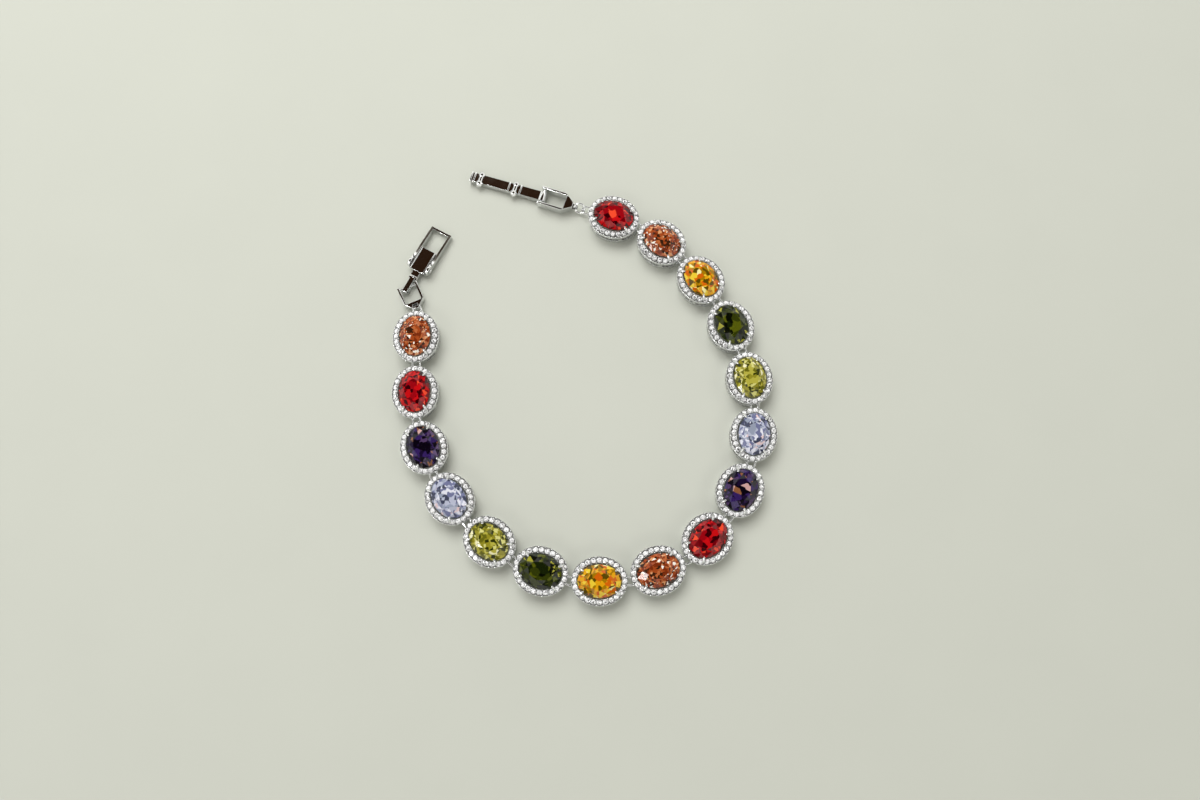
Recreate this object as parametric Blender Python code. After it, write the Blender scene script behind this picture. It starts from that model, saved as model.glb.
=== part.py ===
"""Open tennis bracelet of sixteen oval halo settings, with a fold-over clasp and an extender strip.

The chain lies flat, unfastened, on the plane z = 0. Each setting is a pierced oval gallery with
a halo of small cut stones and four claws that hold an oval stone. A flat wire loop on one end
passes round a post in the next setting's end. Lengths are in metres, +Z is up, and the origin
is at the middle of the bracelet's box, on the surface that it lies on.
"""

import math
from collections import namedtuple

import bmesh
import bpy
from mathutils import Matrix, Vector

MM = 0.001

# Stones: oval, with a flat table, a crown, a thin girdle and a pointed pavilion
STONE_LENGTH = 7.0 * MM
STONE_WIDTH = 5.2 * MM
GIRDLE_BOTTOM = 2.8 * MM
GIRDLE_THICKNESS = 0.15 * MM
CROWN_HEIGHT = 0.85 * MM
PAVILION_DEPTH = 2.0 * MM
STONE_CLEARANCE = 0.12 * MM

# Settings: outer size over the halo, and the gallery wall below it
HALO_LENGTH = 9.0 * MM
HALO_WIDTH = 7.75 * MM
HALO_STONES = 24
RIM_HEIGHT = 2.35 * MM
HALO_DISH = 0.3 * MM
HALO_STONE_RISE = 0.2 * MM
HALO_STONE_BORDER = 0.1 * MM
# Reach of a small stone's table corners, as a share of the way to its seat's nearest edge
HALO_TABLE_SHARE = 0.9
BASE_DRAFT = 0.1 * MM
BASE_WALL = 0.68 * MM

# Piercings of the gallery, all at one height
SLOT_FLOOR = 0.82 * MM
SLOT_HEIGHT = 0.72 * MM
SLOT_MIDDLE = SLOT_FLOOR + SLOT_HEIGHT / 2.0

# Claws
CLAW_DIAMETER = 0.48 * MM
CLAW_ANGLE = 40.0
CLAW_TIP_DIAMETER = 0.36 * MM
CLAW_TIP_HEIGHT = 3.5 * MM
CLAW_LEAN = 0.5 * MM

# Links: the loop on one end of a setting and the post in the end of its neighbour
LINK_GAP = 0.6 * MM
LOOP_WIRE = 0.3 * MM
LOOP_PLAY = 0.32 * MM
LOOP_REACH = 0.4 * MM
POST_DIAMETER = 0.32 * MM
POST_INSET = 0.22 * MM
HALF_PITCH = (HALO_LENGTH + LINK_GAP) / 2.0
LOOP_BEND = POST_DIAMETER / 2.0 + LOOP_PLAY + LOOP_WIRE / 2.0
LOOP_SWING = 24.0
LOOP_STEPS = 4

# Jump ring between the first loop and the extender's link, leaning to one side
RING_BEND = 0.9 * MM
RING_WIRE = 0.34 * MM
RING_LEAN = 38.0
RING_SIDES = 12
RING_CLEARANCE = 0.05 * MM

# Fit between plain metal pieces that turn on each other
TURNING_CLEARANCE = 0.1 * MM

# Extender's link: a pointed frame with a pierced lug, and a bar across its open end
EXTENDER_LINK_WIDTH = 3.35 * MM
EXTENDER_LINK_HEIGHT = 1.9 * MM
EXTENDER_POINT_START = 0.32 * MM
EXTENDER_SHOULDER = 2.1 * MM
EXTENDER_WINDOW_START = 1.8 * MM
EXTENDER_LINK_END = 6.5 * MM
EXTENDER_BAR_PLACE = 6.05 * MM
EXTENDER_BAR_DIAMETER = 0.5 * MM
LUG_THICKNESS = 0.3 * MM
LUG_TIP = 0.56 * MM
FRAME_WALL = 0.4 * MM

# Extender strip, measured from the bar that it turns on
STRIP_WIDTH = 1.65 * MM
STRIP_HEIGHT = 1.15 * MM
STRIP_LIFT = 0.15 * MM
STRIP_LENGTH = 13.3 * MM
STRIP_EYE_WALL = 0.33 * MM
KNOT_PLACE = 5.1 * MM
END_KNOT_INSET = 1.8 * MM
KNOT_WIDTH = 2.9 * MM
KNOT_DIAMETER = 1.25 * MM
RIDGE_RISE = 0.22 * MM
RIDGE_LENGTH = 0.3 * MM

# Clasp's link, measured from its turning point at the last setting
CLASP_LINK_WIDTH = 3.6 * MM
CLASP_LINK_HEIGHT = 1.5 * MM
CLASP_POINT_START = 0.5 * MM
CLASP_SHOULDER = 1.95 * MM
CLASP_WINDOW_START = 1.85 * MM
CLASP_BAR_PLACE = 4.95 * MM
CLASP_BAR_DIAMETER = 0.4 * MM
CLASP_HOLE_LENGTH = 0.4 * MM
CLASP_HOLE_WIDTH = 0.9 * MM

# Clasp tongue, measured from the bar that it hangs on
TONGUE_LENGTH = 7.4 * MM
TONGUE_WIDTH = 2.95 * MM
TONGUE_NECK_WIDTH = 1.4 * MM
TONGUE_NECK_START = 1.5 * MM
TONGUE_PANEL_START = 3.1 * MM
TONGUE_LIFT = 0.3 * MM
TONGUE_PLATE_TOP = 1.35 * MM
TONGUE_FLANGE_RISE = 0.25 * MM
TONGUE_FLANGE_WALL = 0.25 * MM
EYE_WIDTH = 0.8 * MM
EYE_WALL = 0.3 * MM

# Clasp lever, measured from its pin
PIN_PLACE = 4.2 * MM
PIN_HEIGHT = 1.05 * MM
PIN_DIAMETER = 0.5 * MM
PIN_HEAD_DIAMETER = 0.8 * MM
PIN_HEAD_THICKNESS = 0.15 * MM
LEVER_LENGTH = 7.4 * MM
LEVER_ARM_WALL = 0.38 * MM
LEVER_BAR = 0.4 * MM
LEVER_EAR_RADIUS = 1.0 * MM
LEVER_ARM_TOP = 1.3 * MM
LEVER_END_TOP = 1.0 * MM
LEVER_LIFT = 0.08 * MM

# Route of the chain, from the extender round to the clasp, chosen by hand.
# heading: the way the chain runs through the setting, in degrees from +X.
Stop = namedtuple("Stop", "stone heading")
ROUTE = (
    Stop("red", -20),
    Stop("champagne", -39),
    Stop("amber", -53),
    Stop("olive_green", -66),
    Stop("peridot", -80),
    Stop("lavender", -96),
    Stop("violet", -115),
    Stop("red", -136),
    Stop("champagne", -160),
    Stop("amber", -180),
    Stop("olive_green", -199),
    Stop("peridot", -219),
    Stop("lavender", -233),
    Stop("violet", -250),
    Stop("red", -267),
    Stop("champagne", -269),
)
EXTENDER_HEADING = 161
STRIP_HEADING = 163
CLASP_LINK_HEADING = 114
TONGUE_HEADING = 62

# Bays of the gallery's wall on one flank, after the slot at the post end.
# end: where the bay ends, in degrees round the oval from the post end; open: cut through or not.
Bay = namedtuple("Bay", "end open")
FLANK_BAYS = (
    Bay(27.0, False),
    Bay(54.0, True),
    Bay(62.0, False),
    Bay(80.0, True),
    Bay(100.0, True),
    Bay(118.0, True),
    Bay(126.0, False),
    Bay(153.0, True),
    Bay(180.0, False),
)

# Sections of the cut stone from table to girdle; the pavilion runs from there to a point.
# reach: share of the half length and half width; count: corners; turn: share of a corner step;
# rise: share of the crown's height above the girdle's top, or None at the girdle's lower edge.
Section = namedtuple("Section", "reach count turn rise")
STONE_SECTIONS = (
    Section(0.56, 8, 0.5, 1.0),
    Section(0.80, 8, 0.0, 0.62),
    Section(1.0, 16, 0.0, 0.0),
    Section(1.0, 16, 0.0, None),
)

# Finishes: sRGB colour, roughness, metallic, transmission
Finish = namedtuple("Finish", "colour roughness metallic transmission")
FINISHES = {
    "rhodium": Finish((0.86, 0.87, 0.89), 0.12, 1.0, 0.0),
    "red": Finish((0.62, 0.02, 0.06), 0.03, 0.0, 0.6),
    "champagne": Finish((0.80, 0.42, 0.24), 0.03, 0.0, 0.6),
    "amber": Finish((0.85, 0.56, 0.08), 0.03, 0.0, 0.6),
    "olive_green": Finish((0.16, 0.20, 0.06), 0.03, 0.0, 0.6),
    "peridot": Finish((0.56, 0.55, 0.16), 0.03, 0.0, 0.6),
    "lavender": Finish((0.78, 0.78, 0.90), 0.03, 0.0, 0.6),
    "violet": Finish((0.20, 0.10, 0.24), 0.03, 0.0, 0.6),
}


def clear_scene():
    for thing in list(bpy.data.objects):
        bpy.data.objects.remove(thing, do_unlink=True)


def collection(name):
    group = bpy.data.collections.new(name)
    bpy.context.scene.collection.children.link(group)
    return group


def finish(name):
    """Material of one finish, with the colour turned from sRGB to linear."""
    found = bpy.data.materials.get(name)
    if found:
        return found
    values = FINISHES[name]
    made = bpy.data.materials.new(name)
    made.use_nodes = True
    shader = made.node_tree.nodes["Principled BSDF"]
    linear = [((c + 0.055) / 1.055) ** 2.4 if c > 0.04045 else c / 12.92 for c in values.colour]
    shader.inputs["Base Color"].default_value = (*linear, 1.0)
    shader.inputs["Roughness"].default_value = values.roughness
    shader.inputs["Metallic"].default_value = values.metallic
    shader.inputs["Transmission Weight"].default_value = values.transmission
    return made


def shade(mesh, name, angle=25.0):
    mesh.shade_smooth()
    mesh.set_sharp_from_angle(angle=math.radians(angle))
    mesh.materials.clear()
    mesh.materials.append(finish(name))


def place(name, mesh, group, location, heading, parent):
    """A piece as an object of its own, turned to its heading and set in its place."""
    thing = bpy.data.objects.new(name, mesh)
    group.objects.link(thing)
    thing.location = location
    thing.rotation_euler = (0.0, 0.0, math.radians(heading))
    thing.parent = parent
    return thing


def scratch(mesh, group):
    """A shape that another is cut by or joined to; it isn't a piece."""
    thing = bpy.data.objects.new("form", mesh)
    thing.hide_render = True
    thing.display_type = "WIRE"
    group.objects.link(thing)
    return thing


def combine(base, steps, group):
    """The base mesh after each (operation, mesh) step, as one new mesh."""
    body = scratch(base, group)
    for operation, mesh in steps:
        modifier = body.modifiers.new(operation.lower(), "BOOLEAN")
        modifier.operation = operation
        modifier.solver = "EXACT"
        modifier.object = scratch(mesh, group)
    graph = bpy.context.evaluated_depsgraph_get()
    made = bpy.data.meshes.new_from_object(body.evaluated_get(graph))
    for thing in list(group.objects):
        bpy.data.objects.remove(thing, do_unlink=True)
    return made


def weld(mesh, distance=0.002 * MM):
    work = bmesh.new()
    work.from_mesh(mesh)
    bmesh.ops.remove_doubles(work, verts=work.verts, dist=distance)
    bmesh.ops.recalc_face_normals(work, faces=work.faces)
    work.to_mesh(mesh)
    work.free()
    return mesh


def curve_mesh(curve, group, turn=Matrix()):
    """Mesh of a curve object, turned, with its caps welded on."""
    thing = bpy.data.objects.new("curve", curve)
    group.objects.link(thing)
    graph = bpy.context.evaluated_depsgraph_get()
    made = bpy.data.meshes.new_from_object(thing.evaluated_get(graph))
    bpy.data.objects.remove(thing, do_unlink=True)
    made.transform(turn)
    return weld(made)


def wire(points, diameter, group, closed=False):
    """Round wire, with six sides, along a run of points."""
    curve = bpy.data.curves.new("wire", "CURVE")
    curve.dimensions = "3D"
    curve.bevel_depth = diameter / 2.0
    curve.bevel_resolution = 1
    curve.use_fill_caps = True
    spline = curve.splines.new("POLY")
    spline.points.add(len(points) - 1)
    for point, spot in zip(spline.points, points):
        point.co = (*spot, 1.0)
    spline.use_cyclic_u = closed
    return curve_mesh(curve, group)


def plate(outlines, low, high, group, turn=Matrix()):
    """Flat outlines, made solid between two heights; an outline inside another is a hole."""
    curve = bpy.data.curves.new("plate", "CURVE")
    curve.dimensions = "2D"
    curve.fill_mode = "BOTH"
    curve.extrude = (high - low) / 2.0
    for outline in outlines:
        spline = curve.splines.new("POLY")
        spline.points.add(len(outline) - 1)
        for point, spot in zip(spline.points, outline):
            point.co = (spot[0], spot[1], 0.0, 1.0)
        spline.use_cyclic_u = True
    lift = Matrix.Translation((0.0, 0.0, (high + low) / 2.0))
    return curve_mesh(curve, group, turn @ lift)


def side_plate(outlines, half_width, group, middle=0.0):
    """Outlines drawn in the X-Z plane, made solid across Y."""
    turn = Matrix.Rotation(math.radians(90.0), 4, "X")
    return plate(outlines, -middle - half_width, -middle + half_width, group, turn)


def rod(start, end, diameter, sides=10, end_diameter=None):
    """Straight round bar between two points."""
    start = Vector(start)
    way = Vector(end) - start
    work = bmesh.new()
    bmesh.ops.create_cone(
        work, cap_ends=True, segments=sides, radius1=diameter / 2.0,
        radius2=(end_diameter or diameter) / 2.0, depth=way.length)
    turn = way.to_track_quat("Z", "Y").to_matrix().to_4x4()
    work.transform(Matrix.Translation(start + way / 2.0) @ turn)
    made = bpy.data.meshes.new("rod")
    work.to_mesh(made)
    work.free()
    return made


def ball(middle, diameter, around=7, up=4):
    work = bmesh.new()
    bmesh.ops.create_uvsphere(work, u_segments=around, v_segments=up, radius=diameter / 2.0)
    work.transform(Matrix.Translation(middle))
    made = bpy.data.meshes.new("ball")
    work.to_mesh(made)
    work.free()
    return made


def arc(middle, radius, first, last, steps):
    """Points of an arc, angles in degrees."""
    spots = []
    for step in range(steps + 1):
        angle = math.radians(first + (last - first) * step / steps)
        spots.append((middle[0] + radius * math.cos(angle), middle[1] + radius * math.sin(angle)))
    return spots


def rectangle(left, right, bottom, top):
    return [(left, bottom), (right, bottom), (right, top), (left, top)]


def even_angles(count, turn=0.0):
    return [360.0 * (corner + turn) / count for corner in range(count)]


def oval_row(work, half_length, half_width, height, angles):
    """Corners of an oval section, at the given angles."""
    row = []
    for angle in angles:
        turn = math.radians(angle)
        spot = (half_length * math.cos(turn), half_width * math.sin(turn), height)
        row.append(work.verts.new(spot))
    return row


def band(work, row, following):
    """Faces between two closed rows of corners."""
    if len(row) == len(following):
        for corner, start in enumerate(row):
            beyond = (corner + 1) % len(row)
            work.faces.new((start, row[beyond], following[beyond], following[corner]))
        return
    edges = []
    for ring in (row, following):
        for start, end in zip(ring, ring[1:] + ring[:1]):
            edges.append(work.edges.get((start, end)) or work.edges.new((start, end)))
    bmesh.ops.bridge_loops(work, edges=edges)


def cut_stone():
    """Oval cut stone: the hull of its sections, which gives it its flat facets."""
    work = bmesh.new()
    girdle_top = GIRDLE_BOTTOM + GIRDLE_THICKNESS
    for section in STONE_SECTIONS:
        if section.rise is None:
            height = GIRDLE_BOTTOM
        else:
            height = girdle_top + section.rise * CROWN_HEIGHT
        oval_row(work, section.reach * STONE_LENGTH / 2.0, section.reach * STONE_WIDTH / 2.0,
                 height, even_angles(section.count, section.turn))
    work.verts.new((0.0, 0.0, GIRDLE_BOTTOM - PAVILION_DEPTH))
    bmesh.ops.convex_hull(work, input=work.verts)
    made = bpy.data.meshes.new("cut_stone")
    work.to_mesh(made)
    work.free()
    return made


def pierced_band(work, outer_low, outer_high, inner_low, inner_high, openings):
    """Wall between four rows of corners, with a tunnel through each open bay."""
    count = len(openings)
    for corner, is_open in enumerate(openings):
        beyond = (corner + 1) % count
        if is_open:
            for outer, inner in ((outer_low, inner_low), (outer_high, inner_high)):
                work.faces.new((outer[corner], outer[beyond], inner[beyond], inner[corner]))
        else:
            for low, high in ((outer_low, outer_high), (inner_low, inner_high)):
                work.faces.new((low[corner], low[beyond], high[beyond], high[corner]))
        if is_open != openings[corner - 1]:
            work.faces.new((outer_low[corner], outer_high[corner], inner_high[corner],
                            inner_low[corner]))


def wall_bays():
    """Angles of the wall's corners all the way round, and which bays are open."""
    ends = [link_slot_half()] + [bay.end for bay in FLANK_BAYS]
    opens = [True] + [bay.open for bay in FLANK_BAYS]
    angles = [0.0] + ends + [360.0 - end for end in reversed(ends[:-1])]
    return angles, opens + opens[::-1]


def gallery():
    """Pierced oval wall, with the halo's small stones raised on its top."""
    inner_length = STONE_LENGTH / 2.0 + STONE_CLEARANCE
    inner_width = STONE_WIDTH / 2.0 + STONE_CLEARANCE
    outer_length = HALO_LENGTH / 2.0
    outer_width = HALO_WIDTH / 2.0
    inner_top = RIM_HEIGHT + HALO_DISH
    angles, openings = wall_bays()
    work = bmesh.new()
    outer = []
    inner = []
    for height in (0.0, SLOT_FLOOR, SLOT_FLOOR + SLOT_HEIGHT):
        draft = BASE_DRAFT * (1.0 - height / RIM_HEIGHT)
        outer.append(oval_row(work, outer_length - draft, outer_width - draft, height, angles))
        rise = height / inner_top
        length = (outer_length - BASE_DRAFT - BASE_WALL) * (1.0 - rise) + inner_length * rise
        width = (outer_width - BASE_DRAFT - BASE_WALL) * (1.0 - rise) + inner_width * rise
        inner.append(oval_row(work, length, width, height, angles))
    rim = oval_row(work, outer_length, outer_width, RIM_HEIGHT, even_angles(HALO_STONES))
    lip = oval_row(work, inner_length, inner_width, inner_top, even_angles(HALO_STONES))
    band(work, inner[0], outer[0])
    band(work, outer[0], outer[1])
    band(work, inner[0], inner[1])
    pierced_band(work, outer[1], outer[2], inner[1], inner[2], openings)
    band(work, outer[2], rim)
    band(work, inner[2], lip)
    band(work, rim, lip)
    bmesh.ops.recalc_face_normals(work, faces=work.faces)
    seats = [face for face in work.faces if face.normal.z > 0.7 and face.calc_center_median().z
             > RIM_HEIGHT]
    reaches = [seat_reach(seat) for seat in seats]
    bmesh.ops.inset_individual(
        work, faces=seats, thickness=HALO_STONE_BORDER, depth=HALO_STONE_RISE)
    for table, reach in zip(seats, reaches):
        middle = table.calc_center_median()
        corner_reach = max((corner.co - middle).length for corner in table.verts)
        spin = Matrix.Rotation(math.radians(45.0), 3, table.normal)
        for corner in table.verts:
            corner.co = middle + spin @ (corner.co - middle) * (
                reach * HALO_TABLE_SHARE / corner_reach)
    sides = {face for table in seats for edge in table.edges for face in edge.link_faces}
    bmesh.ops.triangulate(work, faces=list(sides - set(seats)), quad_method="SHORT_EDGE")
    made = bpy.data.meshes.new("gallery")
    work.to_mesh(made)
    work.free()
    return made


def seat_reach(seat):
    """Distance from a seat's middle to its nearest edge."""
    middle = seat.calc_center_median()
    reaches = []
    for edge in seat.edges:
        start, end = (corner.co for corner in edge.verts)
        way = (end - start).normalized()
        across = middle - start
        reaches.append((across - way * across.dot(way)).length)
    return min(reaches)


def link_slot_half():
    """Half span of the post's slot, wide enough for the neighbour's loop at its full swing."""
    swing = math.radians(LOOP_SWING)
    reach = LOOP_BEND + LOOP_WIRE / 2.0
    width = reach / math.cos(swing) + LINK_GAP * math.tan(swing) + TURNING_CLEARANCE
    return math.degrees(math.asin(width / (HALO_WIDTH / 2.0)))


def end_loop(root, bend_middle, group):
    """Flat wire loop that starts inside the metal at x = root and bends at x = bend_middle."""
    points = [(root, LOOP_BEND, SLOT_MIDDLE)]
    for x, y in arc((bend_middle, 0.0), LOOP_BEND, 90, 270, LOOP_STEPS):
        points.append((x, y, SLOT_MIDDLE))
    points.append((root, -LOOP_BEND, SLOT_MIDDLE))
    return wire(points, LOOP_WIRE, group)


def claw(angle):
    """Claw that stands beside the girdle and leans over the stone's crown."""
    turn = math.radians(angle)
    foot_height = RIM_HEIGHT - HALO_DISH
    girdle_top = GIRDLE_BOTTOM + GIRDLE_THICKNESS
    lean = CLAW_LEAN * (girdle_top - foot_height) / (CLAW_TIP_HEIGHT - foot_height)
    side = STONE_CLEARANCE + CLAW_DIAMETER / 2.0 + lean
    foot = Vector(((STONE_LENGTH / 2.0 + side) * math.cos(turn),
                   (STONE_WIDTH / 2.0 + side) * math.sin(turn), foot_height))
    tip = foot - Vector((foot.x, foot.y, 0.0)).normalized() * CLAW_LEAN
    tip.z = CLAW_TIP_HEIGHT
    return rod(foot, tip, CLAW_DIAMETER, sides=5, end_diameter=CLAW_TIP_DIAMETER)


def setting(group):
    """One setting: gallery, halo, claws, loop and post, as one soldered piece."""
    post_place = HALO_LENGTH / 2.0 - POST_INSET
    embed = POST_DIAMETER / 2.0
    post = rod((post_place, 0.0, SLOT_FLOOR - embed),
               (post_place, 0.0, SLOT_FLOOR + SLOT_HEIGHT + embed), POST_DIAMETER, sides=5)
    steps = [("UNION", post)]
    root = BASE_DRAFT + BASE_WALL / 2.0 - HALO_LENGTH / 2.0
    steps.append(("UNION", end_loop(root, -HALF_PITCH - LOOP_REACH, group)))
    for angle in (CLAW_ANGLE, 180.0 - CLAW_ANGLE, 180.0 + CLAW_ANGLE, -CLAW_ANGLE):
        steps.append(("UNION", claw(angle)))
    return combine(gallery(), steps, group)


def jump_ring(group):
    """Round ring in an upright plane along X, leaning to one side."""
    lean = math.radians(RING_LEAN)
    points = []
    for step in range(RING_SIDES):
        angle = 2.0 * math.pi * step / RING_SIDES
        rise = RING_BEND * math.sin(angle)
        points.append((RING_BEND * math.cos(angle), -rise * math.sin(lean), rise * math.cos(lean)))
    return wire(points, RING_WIRE, group, closed=True)


def pointed_outline(start, start_half, shoulder, half, end):
    """Plan of a link that comes to a blunt point at its start."""
    return [(start, start_half), (start, -start_half), (shoulder, -half),
            (end, -half), (end, half), (shoulder, half)]


def extender_link(group):
    """Pointed frame with a thin pierced lug for the jump ring and a bar for the strip."""
    half = EXTENDER_LINK_WIDTH / 2.0
    inner = half - FRAME_WALL
    past = EXTENDER_LINK_END + FRAME_WALL
    frame = plate([pointed_outline(EXTENDER_POINT_START, RING_WIRE * 1.3, EXTENDER_SHOULDER, half,
                                   EXTENDER_LINK_END)], 0.0, EXTENDER_LINK_HEIGHT, group)
    window = plate([rectangle(EXTENDER_WINDOW_START, past, -inner, inner)],
                   -FRAME_WALL, EXTENDER_LINK_HEIGHT + FRAME_WALL, group)
    bar_height = strip_eye_height()
    bar = rod((EXTENDER_BAR_PLACE, -inner - FRAME_WALL / 2.0, bar_height),
              (EXTENDER_BAR_PLACE, inner + FRAME_WALL / 2.0, bar_height), EXTENDER_BAR_DIAMETER)
    hole = RING_WIRE / 2.0 + RING_CLEARANCE
    hole_half = hole + LUG_THICKNESS / 2.0 * math.tan(math.radians(RING_LEAN)) + RING_CLEARANCE
    lug_half = hole_half + LOOP_WIRE * 0.6
    lug = plate([[(-LUG_TIP, lug_half * 0.5), (-LUG_TIP, -lug_half * 0.5),
                  (-hole, -lug_half), (EXTENDER_SHOULDER * 0.7, -lug_half),
                  (EXTENDER_SHOULDER * 0.7, lug_half), (-hole, lug_half)],
                 rectangle(-hole, hole, -hole_half, hole_half)],
                SLOT_MIDDLE - LUG_THICKNESS / 2.0, SLOT_MIDDLE + LUG_THICKNESS / 2.0, group)
    return combine(frame, [("DIFFERENCE", window), ("UNION", bar), ("UNION", lug)], group)


def strip_eye_radius():
    return EXTENDER_BAR_DIAMETER / 2.0 + TURNING_CLEARANCE + STRIP_EYE_WALL


def strip_eye_height():
    return STRIP_LIFT + strip_eye_radius()


def extender_strip(group):
    """Strip that hangs on the link's bar by an eye, with two rounded knots and a ridged end."""
    eye = strip_eye_radius()
    height = strip_eye_height()
    top = STRIP_LIFT + STRIP_HEIGHT
    lean = math.degrees(math.asin((top - height) / eye))
    outline = arc((0.0, height), eye, lean, 270.0, 8)
    outline += [(STRIP_LENGTH, STRIP_LIFT), (STRIP_LENGTH, top)]
    bore = arc((0.0, height), EXTENDER_BAR_DIAMETER / 2.0 + TURNING_CLEARANCE, 0.0, 324.0, 9)
    body = side_plate([outline, bore], STRIP_WIDTH / 2.0, group)
    steps = []
    ball_reach = (KNOT_WIDTH - KNOT_DIAMETER) / 2.0
    knot_height = top - KNOT_DIAMETER / 4.0
    for spot in (KNOT_PLACE, STRIP_LENGTH - END_KNOT_INSET):
        steps.append(("UNION", rod((spot, -ball_reach, knot_height), (spot, ball_reach, knot_height),
                                   KNOT_DIAMETER * 0.8, sides=8)))
        for side in (-1.0, 1.0):
            steps.append(("UNION", ball((spot, side * ball_reach, knot_height), KNOT_DIAMETER)))
    ridge_spots = [KNOT_PLACE + KNOT_DIAMETER * 0.85, KNOT_PLACE - KNOT_DIAMETER * 0.85]
    ridge_spots += [STRIP_LENGTH - RIDGE_LENGTH * share for share in (0.5, 2.4)]
    ridge_half = STRIP_WIDTH / 2.0 + RIDGE_RISE / 2.0
    for spot in ridge_spots:
        bounds = rectangle(spot - RIDGE_LENGTH / 2.0, spot + RIDGE_LENGTH / 2.0,
                           STRIP_LIFT + RIDGE_RISE, top + RIDGE_RISE)
        steps.append(("UNION", side_plate([bounds], ridge_half, group)))
    return combine(body, steps, group)


def clasp_link(group):
    """Pointed frame that hooks on the last setting's post and carries the tongue's bar."""
    half = CLASP_LINK_WIDTH / 2.0
    inner = half - FRAME_WALL
    end = CLASP_BAR_PLACE + CLASP_BAR_DIAMETER / 2.0
    frame = plate([pointed_outline(CLASP_POINT_START, LOOP_WIRE, CLASP_SHOULDER, half, end)],
                  0.0, CLASP_LINK_HEIGHT, group)
    window = plate([rectangle(CLASP_WINDOW_START, end + FRAME_WALL, -inner, inner)],
                   -FRAME_WALL, CLASP_LINK_HEIGHT + FRAME_WALL, group)
    hole_start = (CLASP_POINT_START + CLASP_WINDOW_START - CLASP_HOLE_LENGTH) / 2.0
    hole = plate([rectangle(hole_start, hole_start + CLASP_HOLE_LENGTH,
                            -CLASP_HOLE_WIDTH / 2.0, CLASP_HOLE_WIDTH / 2.0)],
                 -FRAME_WALL, CLASP_LINK_HEIGHT + FRAME_WALL, group)
    bar_height = clasp_bar_height()
    bar = rod((CLASP_BAR_PLACE, -inner - FRAME_WALL / 2.0, bar_height),
              (CLASP_BAR_PLACE, inner + FRAME_WALL / 2.0, bar_height), CLASP_BAR_DIAMETER)
    loop = end_loop(CLASP_WINDOW_START - FRAME_WALL, -LOOP_REACH, group)
    steps = [("UNION", loop), ("DIFFERENCE", window), ("DIFFERENCE", hole), ("UNION", bar)]
    return combine(frame, steps, group)


def clasp_bar_height():
    return STRIP_LIFT + EYE_WALL + TURNING_CLEARANCE + CLASP_BAR_DIAMETER / 2.0


def clasp_tongue(group):
    """Tongue with a long eye on the link's bar, a narrow neck and a flanged panel."""
    kink = math.radians(CLASP_LINK_HEADING - TONGUE_HEADING)
    gap = CLASP_BAR_DIAMETER / 2.0 / math.cos(kink) + EYE_WIDTH / 2.0 * math.tan(kink)
    gap += TURNING_CLEARANCE
    outer = gap + EYE_WALL
    middle = clasp_bar_height()
    hollow = CLASP_BAR_DIAMETER / 2.0 + TURNING_CLEARANCE
    thick = hollow + EYE_WALL
    round_off = thick * 0.5
    rim = [(-outer, middle - thick + round_off), (-outer + round_off, middle - thick),
           (TONGUE_NECK_START + round_off, middle - thick),
           (TONGUE_NECK_START + round_off, middle + thick), (-outer + round_off, middle + thick),
           (-outer, middle + thick - round_off)]
    eye = side_plate([rim, rectangle(-gap, gap, middle - hollow, middle + hollow)],
                     EYE_WIDTH / 2.0, group)
    neck = plate([rectangle(TONGUE_NECK_START, TONGUE_PANEL_START + FRAME_WALL,
                            -TONGUE_NECK_WIDTH / 2.0, TONGUE_NECK_WIDTH / 2.0)],
                 TONGUE_LIFT, TONGUE_PLATE_TOP - EYE_WALL / 2.0, group)
    ridge_place = TONGUE_NECK_START + RIDGE_LENGTH * 1.2
    ridge = plate([rectangle(ridge_place, ridge_place + RIDGE_LENGTH,
                             -TONGUE_NECK_WIDTH / 2.0 + EYE_WALL / 4.0,
                             TONGUE_NECK_WIDTH / 2.0 - EYE_WALL / 4.0)],
                  TONGUE_LIFT + EYE_WALL, TONGUE_PLATE_TOP, group)
    half = TONGUE_WIDTH / 2.0
    flange_top = TONGUE_PLATE_TOP + TONGUE_FLANGE_RISE
    panel = plate([rectangle(TONGUE_PANEL_START, TONGUE_LENGTH, -half, half)],
                  TONGUE_LIFT - EYE_WALL / 2.0, flange_top, group)
    trough_half = half - TONGUE_FLANGE_WALL
    trough = plate([rectangle(TONGUE_PANEL_START - FRAME_WALL, TONGUE_LENGTH + FRAME_WALL,
                              -trough_half, trough_half)],
                   TONGUE_PLATE_TOP, flange_top + FRAME_WALL, group)
    bore = rod((PIN_PLACE, -TONGUE_WIDTH, PIN_HEIGHT), (PIN_PLACE, TONGUE_WIDTH, PIN_HEIGHT),
               PIN_DIAMETER + 2.0 * TURNING_CLEARANCE)
    steps = [("DIFFERENCE", trough), ("UNION", neck), ("UNION", ridge), ("UNION", eye),
             ("DIFFERENCE", bore)]
    return combine(panel, steps, group)


def clasp_pin(group):
    """Headed pin through the lever's ears and the tongue; turned about its own axis."""
    ear_out = TONGUE_WIDTH / 2.0 + TURNING_CLEARANCE + LEVER_ARM_WALL + TURNING_CLEARANCE
    head_out = ear_out + PIN_HEAD_THICKNESS
    shank = rod((0.0, -ear_out - PIN_HEAD_THICKNESS / 2.0, 0.0),
                (0.0, ear_out + PIN_HEAD_THICKNESS / 2.0, 0.0), PIN_DIAMETER)
    steps = []
    for side in (-1.0, 1.0):
        steps.append(("UNION", rod((0.0, side * ear_out, 0.0), (0.0, side * head_out, 0.0),
                                   PIN_HEAD_DIAMETER, end_diameter=PIN_HEAD_DIAMETER * 0.7)))
    return combine(shank, steps, group)


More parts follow.
